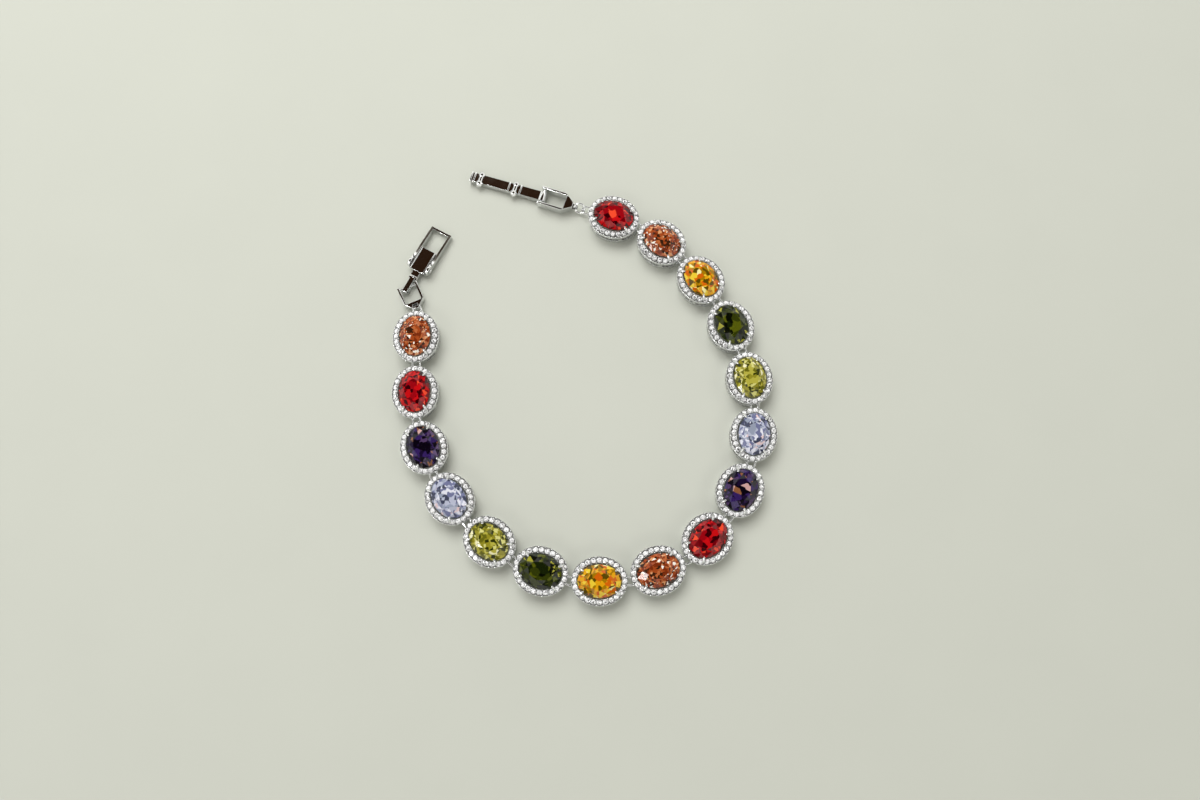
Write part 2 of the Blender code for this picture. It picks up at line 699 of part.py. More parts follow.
def clasp_lever(group):
    """Open frame of two eared arms and an end bar, drawn about the pin's axis."""
    foot = LEVER_LIFT - PIN_HEIGHT
    top = LEVER_ARM_TOP - PIN_HEIGHT
    end_top = LEVER_END_TOP - PIN_HEIGHT
    ear = min(LEVER_EAR_RADIUS, PIN_HEIGHT - LEVER_LIFT)
    outline = arc((0.0, 0.0), ear, 40.0, 270.0, 8)
    outline += [(LEVER_LENGTH, foot), (LEVER_LENGTH, end_top), (LEVER_LENGTH * 0.5, top),
                (LEVER_LENGTH * 0.28, top)]
    bore = arc((0.0, 0.0), PIN_DIAMETER / 2.0 + TURNING_CLEARANCE, 0.0, 324.0, 9)
    arm_middle = TONGUE_WIDTH / 2.0 + TURNING_CLEARANCE + LEVER_ARM_WALL / 2.0
    arms = [side_plate([outline, bore], LEVER_ARM_WALL / 2.0, group, side * arm_middle)
            for side in (-1.0, 1.0)]
    bar = side_plate([rectangle(LEVER_LENGTH - LEVER_BAR, LEVER_LENGTH, foot, end_top)],
                     arm_middle, group)
    return combine(arms[0], [("UNION", arms[1]), ("UNION", bar)], group)


def direction(heading):
    angle = math.radians(heading)
    return Vector((math.cos(angle), math.sin(angle), 0.0))


def lay_chain(group, forms, parent):
    """Settings and stones along the route; gives the first setting's middle and the last one's."""
    setting_mesh = setting(forms)
    shade(setting_mesh, "rhodium")
    stone_meshes = {}
    middle = Vector((0.0, 0.0, 0.0))
    first = middle.copy()
    for number, stop in enumerate(ROUTE, start=1):
        if number > 1:
            middle = middle + direction(stop.heading) * HALF_PITCH
        if stop.stone not in stone_meshes:
            mesh = cut_stone()
            shade(mesh, stop.stone, angle=1.0)
            stone_meshes[stop.stone] = mesh
        place(f"setting_{number:02d}", setting_mesh, group, middle, stop.heading, parent)
        place(f"stone_{number:02d}_{stop.stone}", stone_meshes[stop.stone], group, middle,
              stop.heading, parent)
        last = middle
        middle = middle + direction(stop.heading) * HALF_PITCH
    return first, last


def add_extender(group, forms, parent, first):
    """Jump ring, pointed link and strip, outward from the first setting's loop."""
    outward = -direction(ROUTE[0].heading)
    loop_inside = HALF_PITCH + LOOP_REACH + LOOP_BEND - LOOP_WIRE / 2.0
    ring_grip = loop_inside - RING_WIRE / 2.0 - RING_CLEARANCE
    ring_middle = first + outward * ring_grip + direction(EXTENDER_HEADING) * RING_BEND
    ring_middle.z = SLOT_MIDDLE
    ring_mesh = jump_ring(forms)
    shade(ring_mesh, "rhodium", angle=60.0)
    place("jump_ring", ring_mesh, group, ring_middle, EXTENDER_HEADING, parent)
    link_spot = ring_middle + direction(EXTENDER_HEADING) * RING_BEND
    link_spot.z = 0.0
    link_mesh = extender_link(forms)
    shade(link_mesh, "rhodium")
    place("extender_link", link_mesh, group, link_spot, EXTENDER_HEADING, parent)
    strip_spot = link_spot + direction(EXTENDER_HEADING) * EXTENDER_BAR_PLACE
    strip_mesh = extender_strip(forms)
    shade(strip_mesh, "rhodium")
    place("extender_strip", strip_mesh, group, strip_spot, STRIP_HEADING, parent)


def add_clasp(group, forms, parent, last):
    """Pointed link, tongue, pin and lever, outward from the last setting's post."""
    link_spot = last + direction(ROUTE[-1].heading) * HALF_PITCH
    link_mesh = clasp_link(forms)
    shade(link_mesh, "rhodium")
    place("clasp_link", link_mesh, group, link_spot, CLASP_LINK_HEADING, parent)
    tongue_spot = link_spot + direction(CLASP_LINK_HEADING) * CLASP_BAR_PLACE
    tongue_mesh = clasp_tongue(forms)
    shade(tongue_mesh, "rhodium")
    place("clasp_tongue", tongue_mesh, group, tongue_spot, TONGUE_HEADING, parent)
    pin_spot = tongue_spot + direction(TONGUE_HEADING) * PIN_PLACE
    pin_spot.z = PIN_HEIGHT
    pin_mesh = clasp_pin(forms)
    shade(pin_mesh, "rhodium")
    place("clasp_pin", pin_mesh, group, pin_spot, TONGUE_HEADING, parent)
    lever_mesh = clasp_lever(forms)
    shade(lever_mesh, "rhodium")
    place("clasp_lever", lever_mesh, group, pin_spot, TONGUE_HEADING, parent)


def centre(group, parent):
    """Moves the whole so that its box is centred over the origin."""
    bpy.context.view_layer.update()
    corners = [thing.matrix_world @ corner.co for thing in group.objects if thing.type == "MESH"
               for corner in thing.data.vertices]
    for axis in (0, 1):
        values = [corner[axis] for corner in corners]
        parent.location[axis] -= (min(values) + max(values)) / 2.0
    bpy.context.view_layer.update()


def main():
    clear_scene()
    pieces = collection("tennis_bracelet")
    forms = collection("forms")
    origin = bpy.data.objects.new("origin", None)
    pieces.objects.link(origin)
    first, last = lay_chain(pieces, forms, origin)
    add_extender(pieces, forms, origin, first)
    add_clasp(pieces, forms, origin, last)
    centre(pieces, origin)


main()
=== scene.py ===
"""Dressed tennis bracelet: oval stones in halo settings, a fold-over clasp and an extender.

Every piece takes its place from the frame's nodes. Lengths are in metres, +Z is up.
"""

import math
import random
from collections import namedtuple

import bmesh
import bpy
from bpy.props import FloatProperty, FloatVectorProperty, IntProperty, PointerProperty
from mathutils import Matrix, Vector


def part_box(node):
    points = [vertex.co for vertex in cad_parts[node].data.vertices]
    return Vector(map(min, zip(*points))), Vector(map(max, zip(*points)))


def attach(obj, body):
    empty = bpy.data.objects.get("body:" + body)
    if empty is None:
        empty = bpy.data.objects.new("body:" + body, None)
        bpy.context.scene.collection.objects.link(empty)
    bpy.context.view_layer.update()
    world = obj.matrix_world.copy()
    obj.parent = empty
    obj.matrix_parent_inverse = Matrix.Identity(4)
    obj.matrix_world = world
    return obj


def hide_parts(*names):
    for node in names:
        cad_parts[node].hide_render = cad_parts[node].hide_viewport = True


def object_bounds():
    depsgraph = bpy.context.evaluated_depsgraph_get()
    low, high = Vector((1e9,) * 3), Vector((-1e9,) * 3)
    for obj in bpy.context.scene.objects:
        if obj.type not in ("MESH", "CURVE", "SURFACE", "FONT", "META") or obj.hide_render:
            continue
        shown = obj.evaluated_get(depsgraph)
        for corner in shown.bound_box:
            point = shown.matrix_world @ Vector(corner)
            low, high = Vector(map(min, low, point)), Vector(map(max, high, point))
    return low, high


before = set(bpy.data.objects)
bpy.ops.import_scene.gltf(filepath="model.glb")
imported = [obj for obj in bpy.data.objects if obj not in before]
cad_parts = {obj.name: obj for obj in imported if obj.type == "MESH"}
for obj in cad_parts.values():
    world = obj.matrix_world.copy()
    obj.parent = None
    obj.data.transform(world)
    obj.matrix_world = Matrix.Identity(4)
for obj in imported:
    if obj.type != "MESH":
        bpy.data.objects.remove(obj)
CAD_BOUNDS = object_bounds()

bl_info = {
    "name": "Halo tennis bracelet",
    "version": (1, 0, 0),
    "blender": (4, 5, 0),
    "location": "View3D > Sidebar > Bracelet",
    "description": "Adds an open tennis bracelet of oval stones in halo settings, with its stage",
    "category": "Add Mesh",
}

MM = 0.001

# Route of the chain, from the extender round to the clasp, as the frame's stones lie.
# heading: the way the chain runs through the setting, in degrees from +X.
Stop = namedtuple("Stop", "stone heading")
ROUTE = (
    Stop("red", -20), Stop("champagne", -39), Stop("amber", -53), Stop("olive_green", -66),
    Stop("peridot", -80), Stop("lavender", -96), Stop("violet", -115), Stop("red", -136),
    Stop("champagne", -160), Stop("amber", -180), Stop("olive_green", -199),
    Stop("peridot", -219), Stop("lavender", -233), Stop("violet", -250), Stop("red", -267),
    Stop("champagne", -269),
)
EXTENDER_HEADING = 161
STRIP_HEADING = 163
CLASP_LINK_HEADING = 114
TONGUE_HEADING = 62

# Heights of a setting, from the surface that it lies on
GIRDLE_BOTTOM = 2.8 * MM
GIRDLE_THICKNESS = 0.15 * MM
CROWN_HEIGHT = 0.85 * MM
PAVILION_DEPTH = 2.0 * MM
SLOT_FLOOR = 0.82 * MM
SLOT_TOP = 1.54 * MM
SLOT_MIDDLE = (SLOT_FLOOR + SLOT_TOP) / 2.0
RIM_TOP = 2.45 * MM
HALO_GIRDLE = 2.54 * MM
HALO_LEAN = 17.0
STONE_CLEARANCE = 0.12 * MM
FACETS = 8
HALO_GIRDLE_THICKNESS = 0.03 * MM
HALO_CROWN = 0.16 * MM
HALO_PAVILION = 0.36 * MM
HALO_SHARE = 0.95
HALO_TILT = 5.0

# Links between the settings
HALF_PITCH = 4.8 * MM
LOOP_WIRE = 0.34 * MM
LOOP_BEND = 0.63 * MM
LOOP_REACH = 0.4 * MM
POST_PLACE = 4.28 * MM
POST_DIAMETER = 0.32 * MM
RING_BEND = 0.9 * MM
RING_WIRE = 0.38 * MM
RING_LEAN = 38.0

# Extender: a pointed link with a pierced lug and a bar, and the strip that turns on the bar
EXTENDER_LINK_WIDTH = 3.35 * MM
EXTENDER_LINK_HEIGHT = 1.9 * MM
EXTENDER_POINT_START = 0.32 * MM
EXTENDER_POINT_HALF = 0.44 * MM
EXTENDER_SHOULDER = 2.1 * MM
EXTENDER_WINDOW_START = 1.8 * MM
EXTENDER_LINK_END = 6.5 * MM
EXTENDER_BAR_PLACE = 6.05 * MM
EXTENDER_BAR_HEIGHT = 0.83 * MM
EXTENDER_BAR_DIAMETER = 0.5 * MM
LUG_TIP = 0.56 * MM
LUG_HALF = 0.567 * MM
LUG_THICKNESS = 0.3 * MM
LUG_HOLE_LENGTH = 0.44 * MM
LUG_HOLE_WIDTH = 0.775 * MM
FRAME_WALL = 0.4 * MM
STRIP_WIDTH = 1.65 * MM
STRIP_LIFT = 0.15 * MM
STRIP_TOP = 1.3 * MM
STRIP_LENGTH = 13.3 * MM
STRIP_EYE_RADIUS = 0.68 * MM
KNOT_PLACES = (5.1 * MM, 11.5 * MM)
KNOT_WIDTH = 2.9 * MM
KNOT_DIAMETER = 1.25 * MM
RIDGE_RISE = 0.22 * MM
RIDGE_LENGTH = 0.3 * MM
RIDGE_PLACES = (4.04 * MM, 6.16 * MM, 12.58 * MM, 13.15 * MM)

# Clasp: a pointed link with a loop and a bar, a tongue, and the lever on its pin
CLASP_LINK_WIDTH = 3.6 * MM
CLASP_LINK_HEIGHT = 1.5 * MM
CLASP_POINT_START = 0.5 * MM
CLASP_POINT_HALF = 0.3 * MM
CLASP_SHOULDER = 1.95 * MM
CLASP_WINDOW_START = 1.85 * MM
CLASP_BAR_PLACE = 4.95 * MM
CLASP_BAR_HEIGHT = 0.75 * MM
CLASP_BAR_DIAMETER = 0.4 * MM
CLASP_HOLE_LENGTH = 0.4 * MM
CLASP_HOLE_WIDTH = 0.9 * MM
TONGUE_LENGTH = 7.4 * MM
TONGUE_WIDTH = 2.95 * MM
TONGUE_NECK_WIDTH = 1.4 * MM
TONGUE_NECK_START = 1.5 * MM
TONGUE_PANEL_START = 3.1 * MM
TONGUE_LIFT = 0.3 * MM
TONGUE_PLATE_TOP = 1.35 * MM
TONGUE_FLANGE_TOP = 1.6 * MM
TONGUE_FLANGE_WALL = 0.25 * MM
EYE_WIDTH = 0.8 * MM
EYE_WALL = 0.3 * MM
EYE_HOLLOW_HALF = 0.937 * MM
TURNING_CLEARANCE = 0.1 * MM
PIN_PLACE = 4.2 * MM
PIN_HEIGHT = 1.05 * MM
PIN_DIAMETER = 0.5 * MM
PIN_HEAD_DIAMETER = 0.8 * MM
PIN_HEAD_THICKNESS = 0.15 * MM
LEVER_LENGTH = 7.4 * MM
LEVER_ARM_WALL = 0.38 * MM
LEVER_BAR = 0.4 * MM
LEVER_ARM_TOP = 1.3 * MM
LEVER_END_TOP = 1.0 * MM
LEVER_LIFT = 0.08 * MM

# Sections of the gallery's rings. across: 0 at the outer oval and 1 at the oval round the stone;
# height: in millimetres from the surface below.
Corner = namedtuple("Corner", "across height")
BASE_RAIL = (
    Corner(0.17, 0.0), Corner(0.115, 0.02), Corner(0.1, 0.07), Corner(0.07, 0.74),
    Corner(0.085, 0.8), Corner(0.13, 0.82), Corner(0.6, 0.82), Corner(0.66, 0.76),
    Corner(0.74, 0.06), Corner(0.69, 0.0),
)
RIM_BAND = (
    Corner(0.1, 1.54), Corner(0.045, 1.56), Corner(0.03, 1.62), Corner(0.0, 2.20),
    Corner(0.012, 2.27), Corner(0.06, 2.31), Corner(0.11, 2.3), Corner(0.13, 2.24),
    Corner(0.14, 1.98), Corner(0.86, 2.26), Corner(0.88, 2.58), Corner(0.9, 2.63),
    Corner(0.95, 2.64), Corner(0.975, 2.6), Corner(0.94, 1.6), Corner(0.9, 1.54),
)
PILLAR = (Corner(0.07, 0.7), Corner(0.035, 1.66), Corner(0.55, 1.66), Corner(0.58, 0.7))

# Solid stretches of the wall between the slots, in degrees round the oval from the post end
Stretch = namedtuple("Stretch", "first last")
WALL_STRETCHES = (
    Stretch(18.4, 27.0), Stretch(54.0, 62.0), Stretch(118.0, 126.0), Stretch(153.0, 207.0),
    Stretch(234.0, 242.0), Stretch(298.0, 306.0), Stretch(333.0, 341.6),
)

# Path of a claw. share: of the way from the middle to the girdle; height and radius in millimetres.
Bend = namedtuple("Bend", "share height radius")
CLAW_PATH = (
    Bend(1.20, 2.2, 0.2), Bend(1.19, 2.62, 0.2), Bend(1.17, 2.9, 0.195), Bend(1.12, 3.1, 0.185),
    Bend(1.05, 3.22, 0.18), Bend(0.99, 3.3, 0.17), Bend(0.95, 3.32, 0.15), Bend(0.925, 3.32, 0.08),
)
CLAW_ANGLE = 40.0

# Section of a halo stone's seat. share: of the stone's radius; height: in millimetres from the
# stone's girdle.
Place = namedtuple("Place", "share height")
SEAT = (Place(1.06, -0.48), Place(1.06, -0.02), Place(1.03, 0.015), Place(0.98, 0.01),
        Place(0.93, -0.05), Place(0.5, -0.42))

# Cuts of the oval stones. table and star: shares of the half width at the table and at the star
# facets' points; lower: share at the lower facets' points; extra: rows of small pavilion facets.
Cut = namedtuple("Cut", "table star lower extra")
CUTS = {
    "brilliant": Cut(0.56, 0.78, 0.32, 0),
    "crushed": Cut(0.50, 0.74, 0.24, 1),
}

# Stones: their cut, the size of one painted flash in millimetres, how clear they are, and their
# tones:
# the body colour near the middle, painted shade at the dark end and painted highlights and
# reflections at the bright end: (share of the flashes where it starts, sRGB hex) each
StoneFinish = namedtuple("StoneFinish", "cut flash clearness tones")
STONES = {
    "red": StoneFinish("brilliant", 1.0, 0.35, (
        (0.0, "380006"), (0.2, "74030E"), (0.48, "A00814"), (0.76, "CC1016"), (0.93, "FF5030"))),
    "champagne": StoneFinish("crushed", 0.5, 0.3, (
        (0.0, "3A2010"), (0.18, "7A2E10"), (0.42, "A2481E"), (0.66, "BC683A"),
        (0.84, "E0A070"), (0.93, "FFFAF0"))),
    "amber": StoneFinish("brilliant", 0.85, 0.35, (
        (0.0, "5C4A08"), (0.18, "A87C08"), (0.36, "D8660C"), (0.55, "E8A814"), (0.8, "F4D43C"),
        (0.95, "FFF8B0"))),
    "olive_green": StoneFinish("brilliant", 1.2, 0.45, (
        (0.0, "0A0E03"), (0.3, "1A2408"), (0.55, "38400C"), (0.78, "5E6410"), (0.93, "B4B040"))),
    "peridot": StoneFinish("crushed", 0.7, 0.35, (
        (0.0, "34380C"), (0.2, "6C6A18"), (0.42, "989028"), (0.68, "BCB448"), (0.85, "DCD884"),
        (0.95, "FAF6C8"))),
    "lavender": StoneFinish("crushed", 0.75, 0.4, (
        (0.0, "44485E"), (0.18, "787CA2"), (0.42, "A0A8BC"), (0.62, "C4C8DC"), (0.8, "F4F4FF"),
        (0.95, "F6D8D8"))),
    "violet": StoneFinish("brilliant", 1.2, 0.45, (
        (0.0, "0C0614"), (0.3, "1E1034"), (0.58, "3A2468"), (0.8, "58406C"), (0.9, "9C6440"),
        (0.965, "E4B4B0"))),
}

# Body colours of the stones, as sRGB hex: the middle tone of each
BODY_CODES = {"red": "A00814", "champagne": "A2481E", "amber": "E8A814", "olive_green": "38400C",
              "peridot": "989028", "lavender": "A0A8BC", "violet": "3A2468"}

# Stage: the floor's half side and its gap under the settings, both lights and the room's tones.
# The room's tones run from level with the eye (0) to straight overhead (1).
FLOOR_HALF = 4.0
FLOOR_GAP = 0.02 * MM
KEY_PLACE = (-0.12, 0.30, 0.50)
KEY_SIZE = 0.5
GLINT_PLACE = (-0.30, -0.17, 0.24)
GLINT_SIZE = 0.09
ROOM_TONES = ((0.0, "E6E6E0"), (0.24, "E6E6E0"), (0.36, "4A4844"), (0.46, "5C5A56"),
              (0.58, "F4F4EE"), (0.7, "F4F4EE"), (0.8, "6C6860"), (0.88, "24160C"),
              (1.0, "100A07"))

# Camera: its direction, its place, and its lens and sensor, all three in millimetres
CAMERA_AIM = (-0.007, 0.205, -0.9787)
CAMERA_PLACE = (3.88, -31.45, 131.89)
CAMERA_LENS = 24.0
CAMERA_SENSOR = 36.0


def linear(code):
    """Linear colour of an sRGB hex value."""
    parts = [int(code[place:place + 2], 16) / 255.0 for place in (0, 2, 4)]
    return tuple(((c + 0.055) / 1.055) ** 2.4 if c > 0.04045 else c / 12.92 for c in parts)


def length(name, description, default):
    return FloatProperty(name=name, description=description, default=default, min=0.0,
                         precision=5, subtype="DISTANCE", unit="LENGTH")


def colour(name, description, code):
    return FloatVectorProperty(name=name, description=description, default=linear(code),
                               min=0.0, max=1.0, size=3, subtype="COLOR")


class BraceletSizes(bpy.types.PropertyGroup):
    stone_length: length("Stone length", "Length of a large oval stone", 7.0 * MM)
    stone_width: length("Stone width", "Width of a large oval stone", 5.2 * MM)
    halo_length: length("Halo length", "Length of a setting over its halo", 9.0 * MM)
    halo_width: length("Halo width", "Width of a setting over its halo", 7.75 * MM)
    halo_stone: length("Halo stone", "Diameter of a small halo stone", 0.9 * MM)
    bead: length("Bead", "Diameter of the beads that hold the halo stones", 0.3 * MM)
    halo_count: IntProperty(name="Halo stones", description="Small stones round each large one",
                            default=24, min=8, max=40)


class BraceletColours(bpy.types.PropertyGroup):
    metal: colour("Rhodium", "Colour of the plated metal", "ECEDEE")
    halo: colour("Halo stones", "Colour of the small stones", "FDFDFF")
    red: colour("Red", "Body colour of the red stones", BODY_CODES["red"])
    champagne: colour("Champagne", "Body colour of the champagne stones", BODY_CODES["champagne"])
    amber: colour("Amber", "Body colour of the amber stones", BODY_CODES["amber"])
    olive_green: colour("Olive green", "Body colour of the olive green stones",
                        BODY_CODES["olive_green"])
    peridot: colour("Peridot", "Body colour of the peridot stones", BODY_CODES["peridot"])
    lavender: colour("Lavender", "Body colour of the lavender stones", BODY_CODES["lavender"])
    violet: colour("Violet", "Body colour of the violet stones", BODY_CODES["violet"])


class StageSettings(bpy.types.PropertyGroup):
    floor: colour("Floor", "Colour of the floor", "B6B8AF")
    key_power: FloatProperty(name="Key light", description="Power of the large soft light",
                             default=3.8, min=0.0, unit="POWER")
    glint_power: FloatProperty(name="Glint light", description="Power of the small low light",
                               default=0.5, min=0.0, unit="POWER")
    surround: FloatProperty(name="Surround", description="Strength of the room's own light",
                            default=1.7, min=0.0)


def node(tree, kind, inputs=None, links=None, **settings):
    """A node with its settings, its inputs' values and its links, each (output, input name)."""
    made = tree.nodes.new(kind)
    for name, value in settings.items():
        setattr(made, name, value)
    for name, value in (inputs or {}).items():
        made.inputs[name].default_value = value
    for name, output in (links or {}).items():
        tree.links.new(output, made.inputs[name])
    return made


def ramp_colours(ramp, stops):
    """Sets a ramp's stops, each (position, linear colour)."""
    elements = ramp.color_ramp.elements
    while len(elements) > 1:
        elements.remove(elements[-1])
    for index, (position, shade) in enumerate(stops):
        element = elements[0] if index == 0 else elements.new(position)
        element.position = position
        element.color = (*shade, 1.0)


def tinted(shade, factor):
    return tuple(min(1.0, channel * factor) for channel in shade)


def new_material(name):
    found = bpy.data.materials.get(name)
    if found:
        return found, None
    made = bpy.data.materials.new(name)
    made.use_nodes = True
    made.node_tree.nodes.clear()
    return made, made.node_tree


def rhodium(name, clear, hazed):
    """Rhodium plate over brass: a cool mirror, with faint hazing and fine wipe marks."""
    made, tree = new_material(name)
    if tree is None:
        return made
    shade = tuple(bpy.context.scene.bracelet_colours.metal)
    spot = node(tree, "ShaderNodeTexCoord")
    # Cloudy plating: patches about 1.5 mm across
    cloud = node(tree, "ShaderNodeTexNoise", {"Scale": 650.0, "Detail": 3.0},
                 {"Vector": spot.outputs["Object"]})
    tone = node(tree, "ShaderNodeValToRGB", None, {"Fac": cloud.outputs["Fac"]})
    ramp_colours(tone, ((0.25, tinted(shade, 0.95)), (0.75, shade)))
    # Wipe marks 0.1 mm apart, drawn coarser than the real ones so that they show
    wipe = node(tree, "ShaderNodeTexNoise", {"Scale": 9000.0, "Detail": 2.0},
                {"Vector": spot.outputs["Object"]})
    haze = node(tree, "ShaderNodeMapRange",
                {"From Min": 0.3, "From Max": 0.75, "To Min": clear, "To Max": hazed},
                {"Value": cloud.outputs["Fac"]})
    bump = node(tree, "ShaderNodeBump", {"Strength": 0.04, "Distance": 0.00001},
                {"Height": wipe.outputs["Fac"]})
    shader = node(tree, "ShaderNodeBsdfPrincipled", {"Metallic": 1.0},
                  {"Base Color": tone.outputs["Color"], "Roughness": haze.outputs["Result"],
                   "Normal": bump.outputs["Normal"]})
    node(tree, "ShaderNodeOutputMaterial", None, {"Surface": shader.outputs["BSDF"]})
    return made


def polished_rhodium():
    """Mirror-polished flats of the clasp and the extender: dark where the ceiling shows."""
    return rhodium("polished_rhodium_plate", 0.05, 0.11)


def tumbled_rhodium():
    """Cast and tumbled settings: a softer mirror, so that their rails and beads stay pale."""
    return rhodium("tumbled_rhodium_plate", 0.2, 0.32)


def painted_facet_flashes(tree, size, tones):
    """Painted facet flashes: colour that jumps from facet to facet, and over patches of a real size
    within a facet, painted into the base colour in place of the light that the facets throw back.
    """
    spot = node(tree, "ShaderNodeTexCoord")
    place = node(tree, "ShaderNodeObjectInfo")
    form = node(tree, "ShaderNodeNewGeometry")
    facet = node(tree, "ShaderNodeTexWhiteNoise", None, {"Vector": form.outputs["True Normal"]},
                 noise_dimensions="3D")
    jump = node(tree, "ShaderNodeVectorMath", {"Scale": 0.02}, {0: facet.outputs["Color"]},
                operation="SCALE")
    shift = node(tree, "ShaderNodeVectorMath", {"Scale": 0.47}, {0: place.outputs["Location"]},
                 operation="SCALE")
    start = node(tree, "ShaderNodeVectorMath", None,
                 {0: spot.outputs["Object"], 1: shift.outputs["Vector"]}, operation="ADD")
    moved = node(tree, "ShaderNodeVectorMath", None,
                 {0: start.outputs["Vector"], 1: jump.outputs["Vector"]}, operation="ADD")
    cells = node(tree, "ShaderNodeTexVoronoi", {"Scale": 1.0 / size, "Randomness": 1.0},
                 {"Vector": moved.outputs["Vector"]}, distance="MANHATTAN")
    parts = node(tree, "ShaderNodeSeparateColor", None, {"Color": cells.outputs["Color"]})
    # Constant ramp of painted tones: painted shade on the dark flashes, painted highlights on the
    # bright ones
    tone = node(tree, "ShaderNodeValToRGB", None, {"Fac": parts.outputs["Red"]})
    ramp_colours(tone, tones)
    tone.color_ramp.interpolation = "CONSTANT"
    return tone


def cut_stone(name):
    """Cubic zirconia, cut and polished: deep clear colour, broken up by painted facet flashes, that
    is painted highlights and painted dark shade in the base colour.
    """
    made, tree = new_material(f"{name}_cubic_zirconia")
    if tree is None:
        return made
    body = tuple(getattr(bpy.context.scene.bracelet_colours, name))
    values = STONES[name]
    base = linear(BODY_CODES[name])
    change = [shade / first for shade, first in zip(body, base)]
    tones = []
    for start, code in values.tones:
        shade = linear(code)
        tones.append((start, tuple(min(1.0, c * k) for c, k in zip(shade, change))))
    # The base colour carries painted flashes: painted shade on some facets and painted highlights
    # on others, round the body colour
    tone = painted_facet_flashes(tree, values.flash * MM, tones)
    # Little of the room shows in the crown, so that the colour stays deep up to the girdle
    shader = node(tree, "ShaderNodeBsdfPrincipled",
                  {"Roughness": 0.02, "IOR": 1.45, "Specular IOR Level": 0.3,
                   "Transmission Weight": values.clearness},
                  {"Base Color": tone.outputs["Color"]})
    node(tree, "ShaderNodeOutputMaterial", None, {"Surface": shader.outputs["BSDF"]})
    return made


def halo_zirconia():
    """Clear cubic zirconia of the halo: white, with painted grey and black flecks, that is the
    facets' painted shade, and painted white highlights.
    """
    made, tree = new_material("clear_cubic_zirconia")
    if tree is None:
        return made
    shade = tuple(bpy.context.scene.bracelet_colours.halo)
    # Painted flecks: near-black and grey painted shade and white painted highlights, patch by patch
    # on each facet
    tone = painted_facet_flashes(tree, 0.26 * MM, (
        (0.0, tinted(shade, 0.02)), (0.12, tinted(shade, 0.22)), (0.27, tinted(shade, 0.6)),
        (0.46, shade)))
    shader = node(tree, "ShaderNodeBsdfPrincipled",
                  {"Roughness": 0.03, "IOR": 2.15, "Transmission Weight": 0.1},
                  {"Base Color": tone.outputs["Color"]})
    node(tree, "ShaderNodeOutputMaterial", None, {"Surface": shader.outputs["BSDF"]})
    return made


def matte_board(shade):
    """Matte painted board for the floor: pale, with hardly any gloss."""
    made, tree = new_material("matte_pale_board")
    if tree is None:
        return made
    spot = node(tree, "ShaderNodeTexCoord")
    mottle = node(tree, "ShaderNodeTexNoise", {"Scale": 60.0, "Detail": 3.0},
                  {"Vector": spot.outputs["Object"]})
    tone = node(tree, "ShaderNodeValToRGB", None, {"Fac": mottle.outputs["Fac"]})
    ramp_colours(tone, ((0.3, tinted(shade, 0.985)), (0.7, shade)))
    shader = node(tree, "ShaderNodeBsdfPrincipled", {"Roughness": 0.8},
                  {"Base Color": tone.outputs["Color"]})
    node(tree, "ShaderNodeOutputMaterial", None, {"Surface": shader.outputs["BSDF"]})
    return made


def taken(thing):
    """The mesh of an object after its modifiers; the object itself is removed."""
    graph = bpy.context.evaluated_depsgraph_get()
    made = bpy.data.meshes.new_from_object(thing.evaluated_get(graph))
    bpy.data.objects.remove(thing, do_unlink=True)
    return made


def finished(work, name):
    made = bpy.data.meshes.new(name)
    work.to_mesh(made)
    work.free()
    return made


def rounded(mesh, width, segments=2):
    """Mesh with its sharp edges rounded and its flats kept flat in the shading."""
    mesh.shade_smooth()
    thing = bpy.data.objects.new("form", mesh)
    bpy.context.scene.collection.objects.link(thing)
    if width:
        edges = thing.modifiers.new("edges", "BEVEL")
        edges.width = width
        edges.segments = segments
        edges.limit_method = "ANGLE"
        edges.angle_limit = math.radians(32.0)
    flats = thing.modifiers.new("flats", "WEIGHTED_NORMAL")
    flats.keep_sharp = True
    return taken(thing)


def joined(name, meshes):
    work = bmesh.new()
    for mesh in meshes:
        work.from_mesh(mesh)
    return finished(work, name)


def add_piece(name, mesh, material, nodes, matrix=Matrix(), body="bracelet"):
    """A finished piece in its place, riding on its body and standing for its nodes."""
    if not mesh.materials:
        mesh.materials.append(material)
    thing = bpy.data.objects.new(name, mesh)
    bpy.context.scene.collection.objects.link(thing)
    thing.matrix_world = matrix
    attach(thing, body)
    if nodes:
        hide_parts(*nodes)
    return thing


def stone_node(number):
    return f"stone_{number:02d}_{ROUTE[number - 1].stone}"


def box_middle(name):
    low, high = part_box(name)
    return (Vector(low) + Vector(high)) / 2.0


def turned(spot, heading):
    """Matrix that turns a piece to its heading and sets it on its spot."""
    return Matrix.Translation(spot) @ Matrix.Rotation(math.radians(heading), 4, "Z")


def station(number):
    spot = box_middle(stone_node(number))
    spot.z = 0.0
    return turned(spot, ROUTE[number - 1].heading)


def direction(heading):
    angle = math.radians(heading)
    return Vector((math.cos(angle), math.sin(angle), 0.0))


def oval_halves(sizes, across):
    """Half length and half width of the oval at a place across the halo."""
    outer = Vector((sizes.halo_length, sizes.halo_width)) / 2.0
    inner = Vector((sizes.stone_length, sizes.stone_width)) / 2.0
    inner += Vector((STONE_CLEARANCE, STONE_CLEARANCE))
    return outer.lerp(inner, across)


def oval_point(halves, angle, height):
    turn = math.radians(angle)
    return Vector((halves.x * math.cos(turn), halves.y * math.sin(turn), height))


